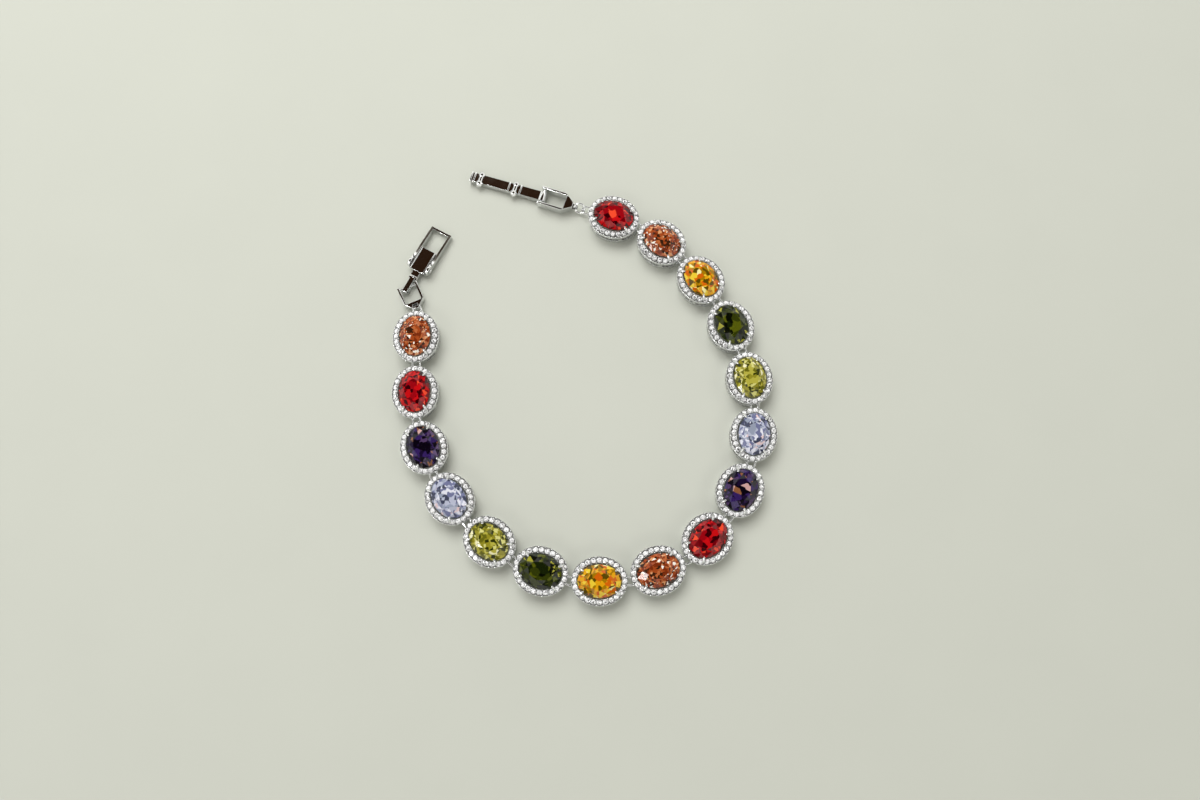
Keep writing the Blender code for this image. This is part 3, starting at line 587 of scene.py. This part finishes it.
def oval_sweep(work, sizes, profile, first, last, steps):
    """Profile swept round the oval between two angles; a whole turn is closed, others capped."""
    closed = last - first >= 360.0
    rows = []
    for step in range(steps if closed else steps + 1):
        angle = first + (last - first) * step / steps
        rows.append([work.verts.new(oval_point(oval_halves(sizes, corner.across), angle,
                                               corner.height * MM)) for corner in profile])
    following = rows[1:] + (rows[:1] if closed else [])
    for row, beyond in zip(rows, following):
        for index in range(len(profile)):
            after = (index + 1) % len(profile)
            work.faces.new((row[index], beyond[index], beyond[after], row[after]))
    if not closed:
        work.faces.new(rows[0])
        work.faces.new(list(reversed(rows[-1])))


def tube(work, path, radii, sides=10, closed=False):
    """Round wire along a path, with a radius at each point."""
    count = len(path)
    way = [None] * count
    for index in range(count):
        before = path[index - 1] if closed or index else path[index]
        after = path[(index + 1) % count] if closed or index < count - 1 else path[index]
        way[index] = (after - before).normalized()
    side = way[0].orthogonal().normalized()
    rows = []
    for index, spot in enumerate(path):
        side = (side - way[index] * side.dot(way[index])).normalized()
        other = way[index].cross(side)
        ring = []
        for corner in range(sides):
            angle = 2.0 * math.pi * corner / sides
            ring.append(work.verts.new(
                spot + (side * math.cos(angle) + other * math.sin(angle)) * radii[index]))
        rows.append(ring)
    following = rows[1:] + (rows[:1] if closed else [])
    for row, beyond in zip(rows, following):
        # A closed wire may come round turned: the nearest corner of its first ring is met.
        shift = 0
        if closed and beyond is rows[0]:
            shift = min(range(sides), key=lambda turn: (row[0].co - beyond[turn].co).length)
        for corner in range(sides):
            after = (corner + 1) % sides
            work.faces.new((row[corner], row[after], beyond[(after + shift) % sides],
                            beyond[(corner + shift) % sides]))
    if not closed:
        work.faces.new(list(reversed(rows[0])))
        work.faces.new(rows[-1])


def bead(work, spot, radius, around=8, up=5, squash=1.0):
    """Ball made ring by ring from its top, so that its faces keep their order on each run."""
    matrix = Matrix.Translation(spot) @ Matrix.Diagonal((radius, radius, radius * squash, 1.0))
    rings = []
    for level in range(1, up):
        fall = math.pi * level / up
        ring = []
        for corner in range(around):
            turn = 2.0 * math.pi * corner / around
            ring.append(work.verts.new(matrix @ Vector((math.sin(fall) * math.cos(turn),
                                                        math.sin(fall) * math.sin(turn),
                                                        math.cos(fall)))))
        rings.append(ring)
    top = work.verts.new(matrix @ Vector((0.0, 0.0, 1.0)))
    bottom = work.verts.new(matrix @ Vector((0.0, 0.0, -1.0)))
    for corner in range(around):
        after = (corner + 1) % around
        work.faces.new((top, rings[0][corner], rings[0][after]))
        for ring, beyond in zip(rings, rings[1:]):
            work.faces.new((ring[corner], beyond[corner], beyond[after], ring[after]))
        work.faces.new((bottom, rings[-1][after], rings[-1][corner]))


def rod(start, end, radius, sides=24, dome=0.0):
    """Round bar between two points, with ends domed by a share of its radius."""
    start = Vector(start)
    end = Vector(end)
    way = (end - start).normalized()
    work = bmesh.new()
    path = [start, end]
    radii = [radius, radius]
    if dome:
        path = [start - way * radius * dome, start - way * radius * dome * 0.7, start,
                end, end + way * radius * dome * 0.7, end + way * radius * dome]
        radii = [radius * 0.45, radius * 0.8, radius, radius, radius * 0.8, radius * 0.45]
    tube(work, path, radii, sides)
    return finished(work, "rod")


def facet_rows(cut, facets):
    """Corners of a round brilliant of radius 1, crown and pavilion heights 1, girdle at 0."""
    half = math.pi / facets
    star_height = (1.0 - cut.star * math.cos(half)) / (1.0 - cut.table)
    rows = [(cut.table, facets, 0.0, 1.0), (cut.star, facets, 0.5, star_height)]
    girdle = (1.0, facets * 2, 0.0, 0.0)
    lower_depth = 1.0 - cut.lower * math.cos(half)
    low = [(cut.lower, facets, 0.5, -lower_depth)]
    if cut.extra:
        middle = 0.64
        depth = 1.0 - middle * math.cos(half / 2.0)
        low.append((middle, facets * 2, 0.5, -depth * 1.03))
    low.append((0.03, facets, 0.0, -0.985))
    return rows, girdle, low


def brilliant(work, cut, facets, halves, girdle_bottom, girdle, crown, pavilion, matrix=Matrix()):
    """Cut stone made as the hull of its facets' corners, with flat facets joined."""
    upper, middle, lower = facet_rows(cut, facets)
    rows = [(reach, count, turn, girdle_bottom + girdle + height * crown)
            for reach, count, turn, height in upper + [middle]]
    rows += [(reach, count, turn, girdle_bottom + height * pavilion)
             for reach, count, turn, height in [middle] + lower]
    made = []
    for reach, count, turn, height in rows:
        for corner in range(count):
            angle = 2.0 * math.pi * (corner + turn) / count
            spot = Vector((halves[0] * reach * math.cos(angle), halves[1] * reach * math.sin(angle),
                           height))
            made.append(work.verts.new(matrix @ spot))
    hull = bmesh.ops.convex_hull(work, input=made)
    faces = [item for item in hull["geom"] if isinstance(item, bmesh.types.BMFace)]
    for face in faces:
        face.smooth = False
    bmesh.ops.recalc_face_normals(work, faces=faces)
    # Each edge once, in the order of the faces: a set's order would change from run to run
    edges = list(dict.fromkeys(edge for face in faces for edge in face.edges))
    bmesh.ops.dissolve_limit(work, angle_limit=math.radians(0.6), verts=[], edges=edges)


def halo_places(sizes):
    """Places of the halo's stones, evenly spaced along the oval: (spot, angle) each."""
    halves = oval_halves(sizes, 0.53)
    fine = 1440
    spots = [oval_point(halves, 360.0 * step / fine, 0.0) for step in range(fine + 1)]
    travel = [0.0]
    for before, after in zip(spots, spots[1:]):
        travel.append(travel[-1] + (after - before).length)
    places = []
    for number in range(sizes.halo_count * 2):
        goal = travel[-1] * (number + 1.0) / (sizes.halo_count * 2)
        step = next(index for index, value in enumerate(travel) if value >= goal - 1e-9)
        places.append((spots[step], 360.0 * step / fine))
    return places


def halo_matrix(spot):
    """Seat of one halo stone: at its place, leaning outward with the halo."""
    outward = Vector((spot.x, spot.y, 0.0)).normalized()
    axis = Vector((-outward.y, outward.x, 0.0))
    lean = Matrix.Rotation(math.radians(HALO_LEAN), 4, axis)
    return Matrix.Translation((spot.x, spot.y, HALO_GIRDLE)) @ lean


def collar(work, matrix, radius):
    """Thin seat round one halo stone, open at its middle."""
    profile = [(radius * place.share, place.height * MM) for place in SEAT]
    sides = 18
    rows = []
    for corner in range(sides):
        angle = 2.0 * math.pi * corner / sides
        rows.append([work.verts.new(matrix @ Vector((reach * math.cos(angle),
                                                     reach * math.sin(angle), height)))
                     for reach, height in profile])
    for row, beyond in zip(rows, rows[1:] + rows[:1]):
        for index in range(len(profile) - 1):
            work.faces.new((row[index], beyond[index], beyond[index + 1], row[index + 1]))


def claw(work, sizes, angle):
    turn = math.radians(angle)
    girdle = Vector((sizes.stone_length / 2.0 * math.cos(turn),
                     sizes.stone_width / 2.0 * math.sin(turn), 0.0))
    path = []
    for bend in CLAW_PATH:
        spot = girdle * bend.share
        spot.z = bend.height * MM
        path.append(spot)
    tube(work, path, [bend.radius * MM for bend in CLAW_PATH], sides=12)


def loop_path(root):
    """Flat loop from its root in the metal, round its bend and back, along -X."""
    path = [Vector((root, LOOP_BEND, SLOT_MIDDLE))]
    bend_middle = -HALF_PITCH - LOOP_REACH
    for step in range(17):
        angle = math.radians(90.0 + 180.0 * step / 16)
        path.append(Vector((bend_middle + LOOP_BEND * math.cos(angle),
                            LOOP_BEND * math.sin(angle), SLOT_MIDDLE)))
    path.append(Vector((root, -LOOP_BEND, SLOT_MIDDLE)))
    return path


def setting_mesh(sizes):
    """One setting's metal: rails, pillars, halo seats, beads, claws, loop and post."""
    work = bmesh.new()
    oval_sweep(work, sizes, BASE_RAIL, 0.0, 360.0, 96)
    oval_sweep(work, sizes, RIM_BAND, 0.0, 360.0, 96)
    for stretch in WALL_STRETCHES:
        steps = max(2, round((stretch.last - stretch.first) / 4.0))
        oval_sweep(work, sizes, PILLAR, stretch.first, stretch.last, steps)
    bmesh.ops.recalc_face_normals(work, faces=work.faces)
    rings = finished(work, "rings")
    work = bmesh.new()
    places = halo_places(sizes)
    for spot, _ in places[1::2]:
        collar(work, halo_matrix(spot), sizes.halo_stone / 2.0)
    outer = oval_halves(sizes, 0.1)
    inner = oval_halves(sizes, 0.92)
    for spot, angle in places[0::2]:
        bead(work, oval_point(outer, angle, RIM_TOP - 0.12 * MM), sizes.bead / 2.0, squash=1.25)
        bead(work, oval_point(inner, angle, RIM_TOP + 0.2 * MM), sizes.bead / 2.0 * 0.9)
    for angle in (CLAW_ANGLE, 180.0 - CLAW_ANGLE, 180.0 + CLAW_ANGLE, -CLAW_ANGLE):
        claw(work, sizes, angle)
    details = finished(work, "details")
    work = bmesh.new()
    path = loop_path(-sizes.halo_length / 2.0 + 0.44 * MM)
    tube(work, path, [LOOP_WIRE / 2.0] * len(path), sides=12)
    embed = POST_DIAMETER / 2.0
    tube(work, [Vector((POST_PLACE, 0.0, SLOT_FLOOR - embed)),
                Vector((POST_PLACE, 0.0, SLOT_TOP + embed))], [POST_DIAMETER / 2.0] * 2, sides=14)
    for face in work.faces:
        face.material_index = 1
    links = finished(work, "links")
    mesh = joined("setting", [rings, details, links])
    mesh.shade_smooth()
    mesh.set_sharp_from_angle(angle=math.radians(50.0))
    return rounded(mesh, 0.0)


def arc(middle, radius, first, last, steps):
    """Points of an arc, angles in degrees."""
    spots = []
    for step in range(steps + 1):
        angle = math.radians(first + (last - first) * step / steps)
        spots.append((middle[0] + radius * math.cos(angle), middle[1] + radius * math.sin(angle)))
    return spots


def rectangle(left, right, bottom, top):
    return [(left, bottom), (right, bottom), (right, top), (left, top)]


def plate(outlines, low, high, edge, turn=Matrix()):
    """Flat outlines made solid between two heights, with rounded edges; an inner one is a hole."""
    curve = bpy.data.curves.new("plate", "CURVE")
    curve.dimensions = "2D"
    curve.fill_mode = "BOTH"
    curve.extrude = (high - low) / 2.0
    for outline in outlines:
        spline = curve.splines.new("POLY")
        spline.points.add(len(outline) - 1)
        for point, spot in zip(spline.points, outline):
            point.co = (spot[0], spot[1], 0.0, 1.0)
        spline.use_cyclic_u = True
    thing = bpy.data.objects.new("plate", curve)
    bpy.context.scene.collection.objects.link(thing)
    mesh = taken(thing)
    mesh.transform(turn @ Matrix.Translation((0.0, 0.0, (high + low) / 2.0)))
    work = bmesh.new()
    work.from_mesh(mesh)
    bmesh.ops.remove_doubles(work, verts=work.verts, dist=0.002 * MM)
    bmesh.ops.recalc_face_normals(work, faces=work.faces)
    return rounded(finished(work, "plate"), edge)


def side_plate(outlines, half_width, edge, middle=0.0):
    """Outlines drawn in the X-Z plane, made solid across Y."""
    turn = Matrix.Rotation(math.radians(90.0), 4, "X")
    return plate(outlines, -middle - half_width, -middle + half_width, edge, turn)


def wire_mesh(path, radius, sides=12, closed=False):
    work = bmesh.new()
    tube(work, path, [radius] * len(path), sides, closed)
    mesh = finished(work, "wire")
    mesh.shade_smooth()
    return mesh


def smooth_rod(start, end, radius, dome=0.0):
    mesh = rod(start, end, radius, dome=dome)
    mesh.shade_smooth()
    mesh.set_sharp_from_angle(angle=math.radians(50.0))
    return mesh


def ball(spot, radius):
    work = bmesh.new()
    bead(work, Vector(spot), radius, around=24, up=14)
    mesh = finished(work, "ball")
    mesh.shade_smooth()
    return mesh


def pointed_frame(start, start_half, shoulder, half, end, window):
    """Plan of a link with a blunt point, open at its far end."""
    inner = half - FRAME_WALL
    return [(start, start_half), (start, -start_half), (shoulder, -half), (end, -half),
            (end, -inner), (window, -inner), (window, inner), (end, inner), (end, half),
            (shoulder, half)]


class BRACELET_OT_settings(bpy.types.Operator):
    """Adds the pierced settings with their halo seats, claws, loops and posts"""
    bl_idname = "bracelet.settings"
    bl_label = "Settings"

    def execute(self, context):
        mesh = setting_mesh(context.scene.bracelet_sizes)
        settled = tumbled_rhodium()
        mesh.materials.append(settled)
        # The loops and posts are of drawn wire, polished
        mesh.materials.append(polished_rhodium())
        for number in range(1, len(ROUTE) + 1):
            add_piece(f"halo_setting_{number:02d}", mesh, settled,
                      [f"setting_{number:02d}"], station(number))
        return {"FINISHED"}


class BRACELET_OT_halo_stones(bpy.types.Operator):
    """Adds the ring of small round stones in each setting"""
    bl_idname = "bracelet.halo_stones"
    bl_label = "Halo stones"

    def execute(self, context):
        sizes = context.scene.bracelet_sizes
        chance = random.Random(11)
        radius = sizes.halo_stone / 2.0 * HALO_SHARE
        work = bmesh.new()
        for spot, _ in halo_places(sizes)[1::2]:
            tilt = Matrix()
            for axis in ("X", "Y"):
                lean = math.radians(chance.uniform(-HALO_TILT, HALO_TILT))
                tilt = tilt @ Matrix.Rotation(lean, 4, axis)
            spin = Matrix.Rotation(chance.uniform(0.0, 2.0 * math.pi / FACETS), 4, "Z")
            brilliant(work, CUTS["brilliant"], FACETS, (radius, radius), 0.0,
                      HALO_GIRDLE_THICKNESS, HALO_CROWN, HALO_PAVILION,
                      halo_matrix(spot) @ tilt @ spin)
        mesh = finished(work, "halo_stones")
        for number in range(1, len(ROUTE) + 1):
            add_piece(f"halo_stones_{number:02d}", mesh, halo_zirconia(), [],
                      station(number))
        return {"FINISHED"}


class BRACELET_OT_stones(bpy.types.Operator):
    """Adds the large oval stones with all their facets"""
    bl_idname = "bracelet.stones"
    bl_label = "Oval stones"

    def execute(self, context):
        sizes = context.scene.bracelet_sizes
        meshes = {}
        for number, stop in enumerate(ROUTE, start=1):
            if stop.stone not in meshes:
                work = bmesh.new()
                brilliant(work, CUTS[STONES[stop.stone].cut], FACETS,
                          (sizes.stone_length / 2.0, sizes.stone_width / 2.0), GIRDLE_BOTTOM,
                          GIRDLE_THICKNESS, CROWN_HEIGHT, PAVILION_DEPTH)
                meshes[stop.stone] = finished(work, f"oval_stone_{stop.stone}")
            add_piece(f"oval_stone_{number:02d}", meshes[stop.stone], cut_stone(stop.stone),
                      [stone_node(number)], station(number))
        return {"FINISHED"}


class BRACELET_OT_extender(bpy.types.Operator):
    """Adds the jump ring, the pointed link and the knotted strip of the extender"""
    bl_idname = "bracelet.extender"
    bl_label = "Extender"

    def execute(self, context):
        metal = polished_rhodium()
        ring_spot = box_middle("jump_ring")
        self.ring(metal, ring_spot)
        link_spot = ring_spot + direction(EXTENDER_HEADING) * RING_BEND
        link_spot.z = 0.0
        self.link(metal, link_spot)
        strip_spot = link_spot + direction(EXTENDER_HEADING) * EXTENDER_BAR_PLACE
        self.strip(metal, strip_spot)
        return {"FINISHED"}

    def ring(self, metal, spot):
        lean = math.radians(RING_LEAN)
        path = []
        for step in range(40):
            angle = 2.0 * math.pi * step / 40
            rise = RING_BEND * math.sin(angle)
            path.append(Vector((RING_BEND * math.cos(angle), -rise * math.sin(lean),
                                rise * math.cos(lean))))
        add_piece("ring", wire_mesh(path, RING_WIRE / 2.0, 14, closed=True), metal,
                  ["jump_ring"], turned(spot, EXTENDER_HEADING))

    def link(self, metal, spot):
        half = EXTENDER_LINK_WIDTH / 2.0
        inner = half - FRAME_WALL
        frame_part = plate([pointed_frame(EXTENDER_POINT_START, EXTENDER_POINT_HALF,
                                          EXTENDER_SHOULDER, half, EXTENDER_LINK_END,
                                          EXTENDER_WINDOW_START)],
                           0.0, EXTENDER_LINK_HEIGHT, 0.07 * MM)
        bar = smooth_rod((EXTENDER_BAR_PLACE, -inner - FRAME_WALL * 0.8, EXTENDER_BAR_HEIGHT),
                         (EXTENDER_BAR_PLACE, inner + FRAME_WALL * 0.8, EXTENDER_BAR_HEIGHT),
                         EXTENDER_BAR_DIAMETER / 2.0, dome=0.5)
        tip = [(LUG_TIP * math.cos(math.radians(angle)), LUG_HALF * math.sin(math.radians(angle)))
               for angle in range(90, 271, 15)]
        tip += [(EXTENDER_SHOULDER * 0.7, -LUG_HALF), (EXTENDER_SHOULDER * 0.7, LUG_HALF)]
        hole = rectangle(-LUG_HOLE_LENGTH / 2.0, LUG_HOLE_LENGTH / 2.0,
                         -LUG_HOLE_WIDTH / 2.0, LUG_HOLE_WIDTH / 2.0)
        lug = plate([tip, hole], SLOT_MIDDLE - LUG_THICKNESS / 2.0,
                    SLOT_MIDDLE + LUG_THICKNESS / 2.0, 0.03 * MM)
        add_piece("extender_frame", joined("extender_frame", [frame_part, bar, lug]), metal,
                  ["extender_link"], turned(spot, EXTENDER_HEADING))

    def strip(self, metal, spot):
        lean = math.degrees(math.asin((STRIP_TOP - EXTENDER_BAR_HEIGHT) / STRIP_EYE_RADIUS))
        outline = arc((0.0, EXTENDER_BAR_HEIGHT), STRIP_EYE_RADIUS, lean, 270.0, 18)
        outline += [(STRIP_LENGTH, STRIP_LIFT), (STRIP_LENGTH, STRIP_TOP)]
        bore = arc((0.0, EXTENDER_BAR_HEIGHT), EXTENDER_BAR_DIAMETER / 2.0 + TURNING_CLEARANCE,
                   0.0, 345.0, 23)
        parts = [side_plate([outline, bore], STRIP_WIDTH / 2.0, 0.08 * MM)]
        reach = (KNOT_WIDTH - KNOT_DIAMETER) / 2.0
        height = STRIP_TOP - KNOT_DIAMETER / 4.0
        for place in KNOT_PLACES:
            parts.append(smooth_rod((place, -reach, height), (place, reach, height),
                                    KNOT_DIAMETER * 0.38))
            for side in (-1.0, 1.0):
                parts.append(ball((place, side * reach, height), KNOT_DIAMETER / 2.0))
        half = STRIP_WIDTH / 2.0 + RIDGE_RISE / 2.0
        for place in RIDGE_PLACES:
            bounds = rectangle(place - RIDGE_LENGTH / 2.0, place + RIDGE_LENGTH / 2.0,
                               STRIP_LIFT + RIDGE_RISE, STRIP_TOP + RIDGE_RISE)
            parts.append(side_plate([bounds], half, 0.09 * MM))
        add_piece("knotted_strip", joined("knotted_strip", parts), metal,
                  ["extender_strip"], turned(spot, STRIP_HEADING))


class BRACELET_OT_clasp(bpy.types.Operator):
    """Adds the clasp's pointed link, its tongue, its pin and the fold-over lever"""
    bl_idname = "bracelet.clasp"
    bl_label = "Clasp"

    def execute(self, context):
        metal = polished_rhodium()
        last = box_middle(stone_node(len(ROUTE)))
        last.z = 0.0
        link_spot = last + direction(ROUTE[-1].heading) * HALF_PITCH
        self.link(metal, link_spot)
        tongue_spot = link_spot + direction(CLASP_LINK_HEADING) * CLASP_BAR_PLACE
        self.tongue(metal, tongue_spot)
        pin_spot = tongue_spot + direction(TONGUE_HEADING) * PIN_PLACE
        pin_spot.z = PIN_HEIGHT
        self.pin(metal, pin_spot)
        self.lever(metal, pin_spot)
        return {"FINISHED"}

    def link(self, metal, spot):
        half = CLASP_LINK_WIDTH / 2.0
        inner = half - FRAME_WALL
        end = CLASP_BAR_PLACE + CLASP_BAR_DIAMETER / 2.0
        hole_start = (CLASP_POINT_START + CLASP_WINDOW_START - CLASP_HOLE_LENGTH) / 2.0
        hole = rectangle(hole_start, hole_start + CLASP_HOLE_LENGTH,
                         -CLASP_HOLE_WIDTH / 2.0, CLASP_HOLE_WIDTH / 2.0)
        outline = pointed_frame(CLASP_POINT_START, CLASP_POINT_HALF, CLASP_SHOULDER, half, end,
                                CLASP_WINDOW_START)
        frame_part = plate([outline, hole], 0.0, CLASP_LINK_HEIGHT, 0.07 * MM)
        bar = smooth_rod((CLASP_BAR_PLACE, -inner - FRAME_WALL / 2.0, CLASP_BAR_HEIGHT),
                         (CLASP_BAR_PLACE, inner + FRAME_WALL / 2.0, CLASP_BAR_HEIGHT),
                         CLASP_BAR_DIAMETER / 2.0)
        path = [corner + Vector((HALF_PITCH, 0.0, 0.0)) for corner in loop_path(-HALF_PITCH)]
        path[0].x = path[-1].x = CLASP_WINDOW_START - FRAME_WALL
        loop = wire_mesh(path, LOOP_WIRE / 2.0)
        add_piece("clasp_frame", joined("clasp_frame", [frame_part, bar, loop]), metal,
                  ["clasp_link"], turned(spot, CLASP_LINK_HEADING))

    def tongue(self, metal, spot):
        middle = CLASP_BAR_HEIGHT
        hollow = CLASP_BAR_DIAMETER / 2.0 + TURNING_CLEARANCE
        thick = hollow + EYE_WALL
        outer = EYE_HOLLOW_HALF + EYE_WALL
        corner = thick * 0.5
        rim = arc((-outer + corner, middle + thick - corner), corner, 90.0, 180.0, 5)
        rim += arc((-outer + corner, middle - thick + corner), corner, 180.0, 270.0, 5)
        rim += [(TONGUE_NECK_START + corner, middle - thick),
                (TONGUE_NECK_START + corner, middle + thick)]
        gap = rectangle(-EYE_HOLLOW_HALF, EYE_HOLLOW_HALF, middle - hollow, middle + hollow)
        parts = [side_plate([rim, gap], EYE_WIDTH / 2.0, 0.06 * MM)]
        neck_half = TONGUE_NECK_WIDTH / 2.0
        parts.append(plate([rectangle(TONGUE_NECK_START, TONGUE_PANEL_START + FRAME_WALL,
                                      -neck_half, neck_half)],
                           TONGUE_LIFT, TONGUE_PLATE_TOP - EYE_WALL / 2.0, 0.07 * MM))
        ridge = TONGUE_NECK_START + RIDGE_LENGTH * 1.2
        parts.append(plate([rectangle(ridge, ridge + RIDGE_LENGTH, -neck_half + EYE_WALL / 4.0,
                                      neck_half - EYE_WALL / 4.0)],
                           TONGUE_LIFT + EYE_WALL, TONGUE_PLATE_TOP, 0.08 * MM))
        half = TONGUE_WIDTH / 2.0
        low = TONGUE_LIFT - EYE_WALL / 2.0
        inner = half - TONGUE_FLANGE_WALL
        section = [(-half, low), (half, low), (half, TONGUE_FLANGE_TOP),
                   (inner, TONGUE_FLANGE_TOP), (inner, TONGUE_PLATE_TOP),
                   (-inner, TONGUE_PLATE_TOP), (-inner, TONGUE_FLANGE_TOP),
                   (-half, TONGUE_FLANGE_TOP)]
        stand = Matrix(((0.0, 0.0, 1.0, 0.0), (1.0, 0.0, 0.0, 0.0), (0.0, 1.0, 0.0, 0.0),
                        (0.0, 0.0, 0.0, 1.0)))
        parts.append(plate([section], TONGUE_PANEL_START, TONGUE_LENGTH, 0.05 * MM, stand))
        add_piece("tongue", joined("tongue", parts), metal, ["clasp_tongue"],
                  turned(spot, TONGUE_HEADING))

    def pin(self, metal, spot):
        out = TONGUE_WIDTH / 2.0 + LEVER_ARM_WALL + 2.0 * TURNING_CLEARANCE
        thick = PIN_HEAD_THICKNESS
        parts = [smooth_rod((0.0, -out, 0.0), (0.0, out, 0.0), PIN_DIAMETER / 2.0)]
        head = PIN_HEAD_DIAMETER / 2.0
        for side in (-1.0, 1.0):
            work = bmesh.new()
            path = [Vector((0.0, side * (out + thick * share), 0.0))
                    for share in (0.0, 0.45, 0.8, 1.0)]
            tube(work, path, [head, head, head * 0.82, head * 0.45], 24)
            cap = finished(work, "head")
            cap.shade_smooth()
            parts.append(cap)
        add_piece("pin", joined("pin", parts), metal, ["clasp_pin"],
                  turned(spot, TONGUE_HEADING))

    def lever(self, metal, spot):
        foot = LEVER_LIFT - PIN_HEIGHT
        top = LEVER_ARM_TOP - PIN_HEIGHT
        end_top = LEVER_END_TOP - PIN_HEIGHT
        ear = PIN_HEIGHT - LEVER_LIFT
        outline = arc((0.0, 0.0), ear, 40.0, 270.0, 20)
        outline += [(LEVER_LENGTH, foot), (LEVER_LENGTH, end_top), (LEVER_LENGTH * 0.5, top),
                    (LEVER_LENGTH * 0.28, top)]
        bore = arc((0.0, 0.0), PIN_DIAMETER / 2.0 + TURNING_CLEARANCE, 0.0, 345.0, 23)
        arm_middle = TONGUE_WIDTH / 2.0 + TURNING_CLEARANCE + LEVER_ARM_WALL / 2.0
        parts = [side_plate([outline, bore], LEVER_ARM_WALL / 2.0, 0.04 * MM, side * arm_middle)
                 for side in (-1.0, 1.0)]
        parts.append(side_plate([rectangle(LEVER_LENGTH - LEVER_BAR, LEVER_LENGTH, foot, end_top)],
                                arm_middle + LEVER_ARM_WALL / 4.0, 0.04 * MM))
        add_piece("fold_over_lever", joined("fold_over_lever", parts), metal,
                  ["clasp_lever"], turned(spot, TONGUE_HEADING), body="lever")


class BRACELET_OT_stage(bpy.types.Operator):
    """Adds the floor, the lights, the surround and the camera"""
    bl_idname = "bracelet.stage"
    bl_label = "Stage"

    def execute(self, context):
        scene = context.scene
        settings = scene.bracelet_stage
        work = bmesh.new()
        bmesh.ops.create_grid(work, x_segments=8, y_segments=8, size=FLOOR_HALF)
        floor_mesh = finished(work, "floor")
        floor_mesh.materials.append(matte_board(tuple(settings.floor)))
        floor = bpy.data.objects.new("floor", floor_mesh)
        scene.collection.objects.link(floor)
        floor.location.z = CAD_BOUNDS[0][2] - FLOOR_GAP
        key = self.light(scene, "key", KEY_PLACE, KEY_SIZE, settings.key_power)
        # Shielded, so that the metal's flats mirror the dark ceiling instead of this light
        key.visible_glossy = False
        glint = self.light(scene, "glint", GLINT_PLACE, GLINT_SIZE, settings.glint_power)
        glint.visible_diffuse = False
        self.surround(scene, settings)
        self.camera(scene)
        return {"FINISHED"}

    def light(self, scene, name, spot, size, power):
        data = bpy.data.lights.new(name, "AREA")
        data.shape = "DISK"
        data.size = size
        data.energy = power
        lamp = bpy.data.objects.new(name, data)
        scene.collection.objects.link(lamp)
        lamp.location = spot
        lamp.rotation_euler = Vector(spot).to_track_quat("Z", "Y").to_euler()
        return lamp

    def surround(self, scene, settings):
        """Room: pale walls with a dimmer ring, and a dark warm ceiling that the flats mirror."""
        world = bpy.data.worlds.new("studio")
        world.use_nodes = True
        scene.world = world
        tree = world.node_tree
        tree.nodes.clear()
        way = node(tree, "ShaderNodeTexCoord")
        parts = node(tree, "ShaderNodeSeparateXYZ", None, {"Vector": way.outputs["Generated"]})
        height = node(tree, "ShaderNodeValToRGB", None, {"Fac": parts.outputs["Z"]})
        ramp_colours(height, [(place, linear(code)) for place, code in ROOM_TONES])
        back = node(tree, "ShaderNodeBackground", {"Strength": settings.surround},
                    {"Color": height.outputs["Color"]})
        node(tree, "ShaderNodeOutputWorld", None, {"Surface": back.outputs["Background"]})
        scene.view_settings.view_transform = "Standard"

    def camera(self, scene):
        """Camera over the bracelet, tipped a little towards its near side."""
        forward = Vector(CAMERA_AIM).normalized()
        right = forward.cross(Vector((0.0, 1.0, 0.0))).normalized()
        over = right.cross(forward)
        data = bpy.data.cameras.new("camera")
        data.lens = CAMERA_LENS
        data.sensor_width = CAMERA_SENSOR
        data.clip_start = 1.0 * MM
        eye = bpy.data.objects.new("camera", data)
        scene.collection.objects.link(eye)
        eye.matrix_world = Matrix.Translation(Vector(CAMERA_PLACE) * MM) @ Matrix(
            (right, over, -forward)).transposed().to_4x4()
        scene.camera = eye


class BRACELET_PT_panel(bpy.types.Panel):
    """Lists the bracelet's pieces, its sizes and its colours"""
    bl_label = "Halo tennis bracelet"
    bl_idname = "BRACELET_PT_panel"
    bl_space_type = "VIEW_3D"
    bl_region_type = "UI"
    bl_category = "Bracelet"

    def draw(self, context):
        layout = self.layout
        for operator in PIECES:
            layout.operator(operator.bl_idname)
        for group in (context.scene.bracelet_sizes, context.scene.bracelet_colours,
                      context.scene.bracelet_stage):
            box = layout.box()
            for name in group.__annotations__:
                box.prop(group, name)


PIECES = (BRACELET_OT_settings, BRACELET_OT_halo_stones, BRACELET_OT_stones,
          BRACELET_OT_extender, BRACELET_OT_clasp, BRACELET_OT_stage)
GROUPS = (BraceletSizes, BraceletColours, StageSettings)


def register():
    for kind in GROUPS + PIECES + (BRACELET_PT_panel,):
        bpy.utils.register_class(kind)
    bpy.types.Scene.bracelet_sizes = PointerProperty(type=BraceletSizes)
    bpy.types.Scene.bracelet_colours = PointerProperty(type=BraceletColours)
    bpy.types.Scene.bracelet_stage = PointerProperty(type=StageSettings)


def unregister():
    del bpy.types.Scene.bracelet_stage
    del bpy.types.Scene.bracelet_colours
    del bpy.types.Scene.bracelet_sizes
    for kind in reversed(GROUPS + PIECES + (BRACELET_PT_panel,)):
        bpy.utils.unregister_class(kind)


def main():
    register()
    bpy.ops.bracelet.settings()
    bpy.ops.bracelet.halo_stones()
    bpy.ops.bracelet.stones()
    bpy.ops.bracelet.extender()
    bpy.ops.bracelet.clasp()
    bpy.ops.bracelet.stage()


if __name__ == "__main__":
    main()
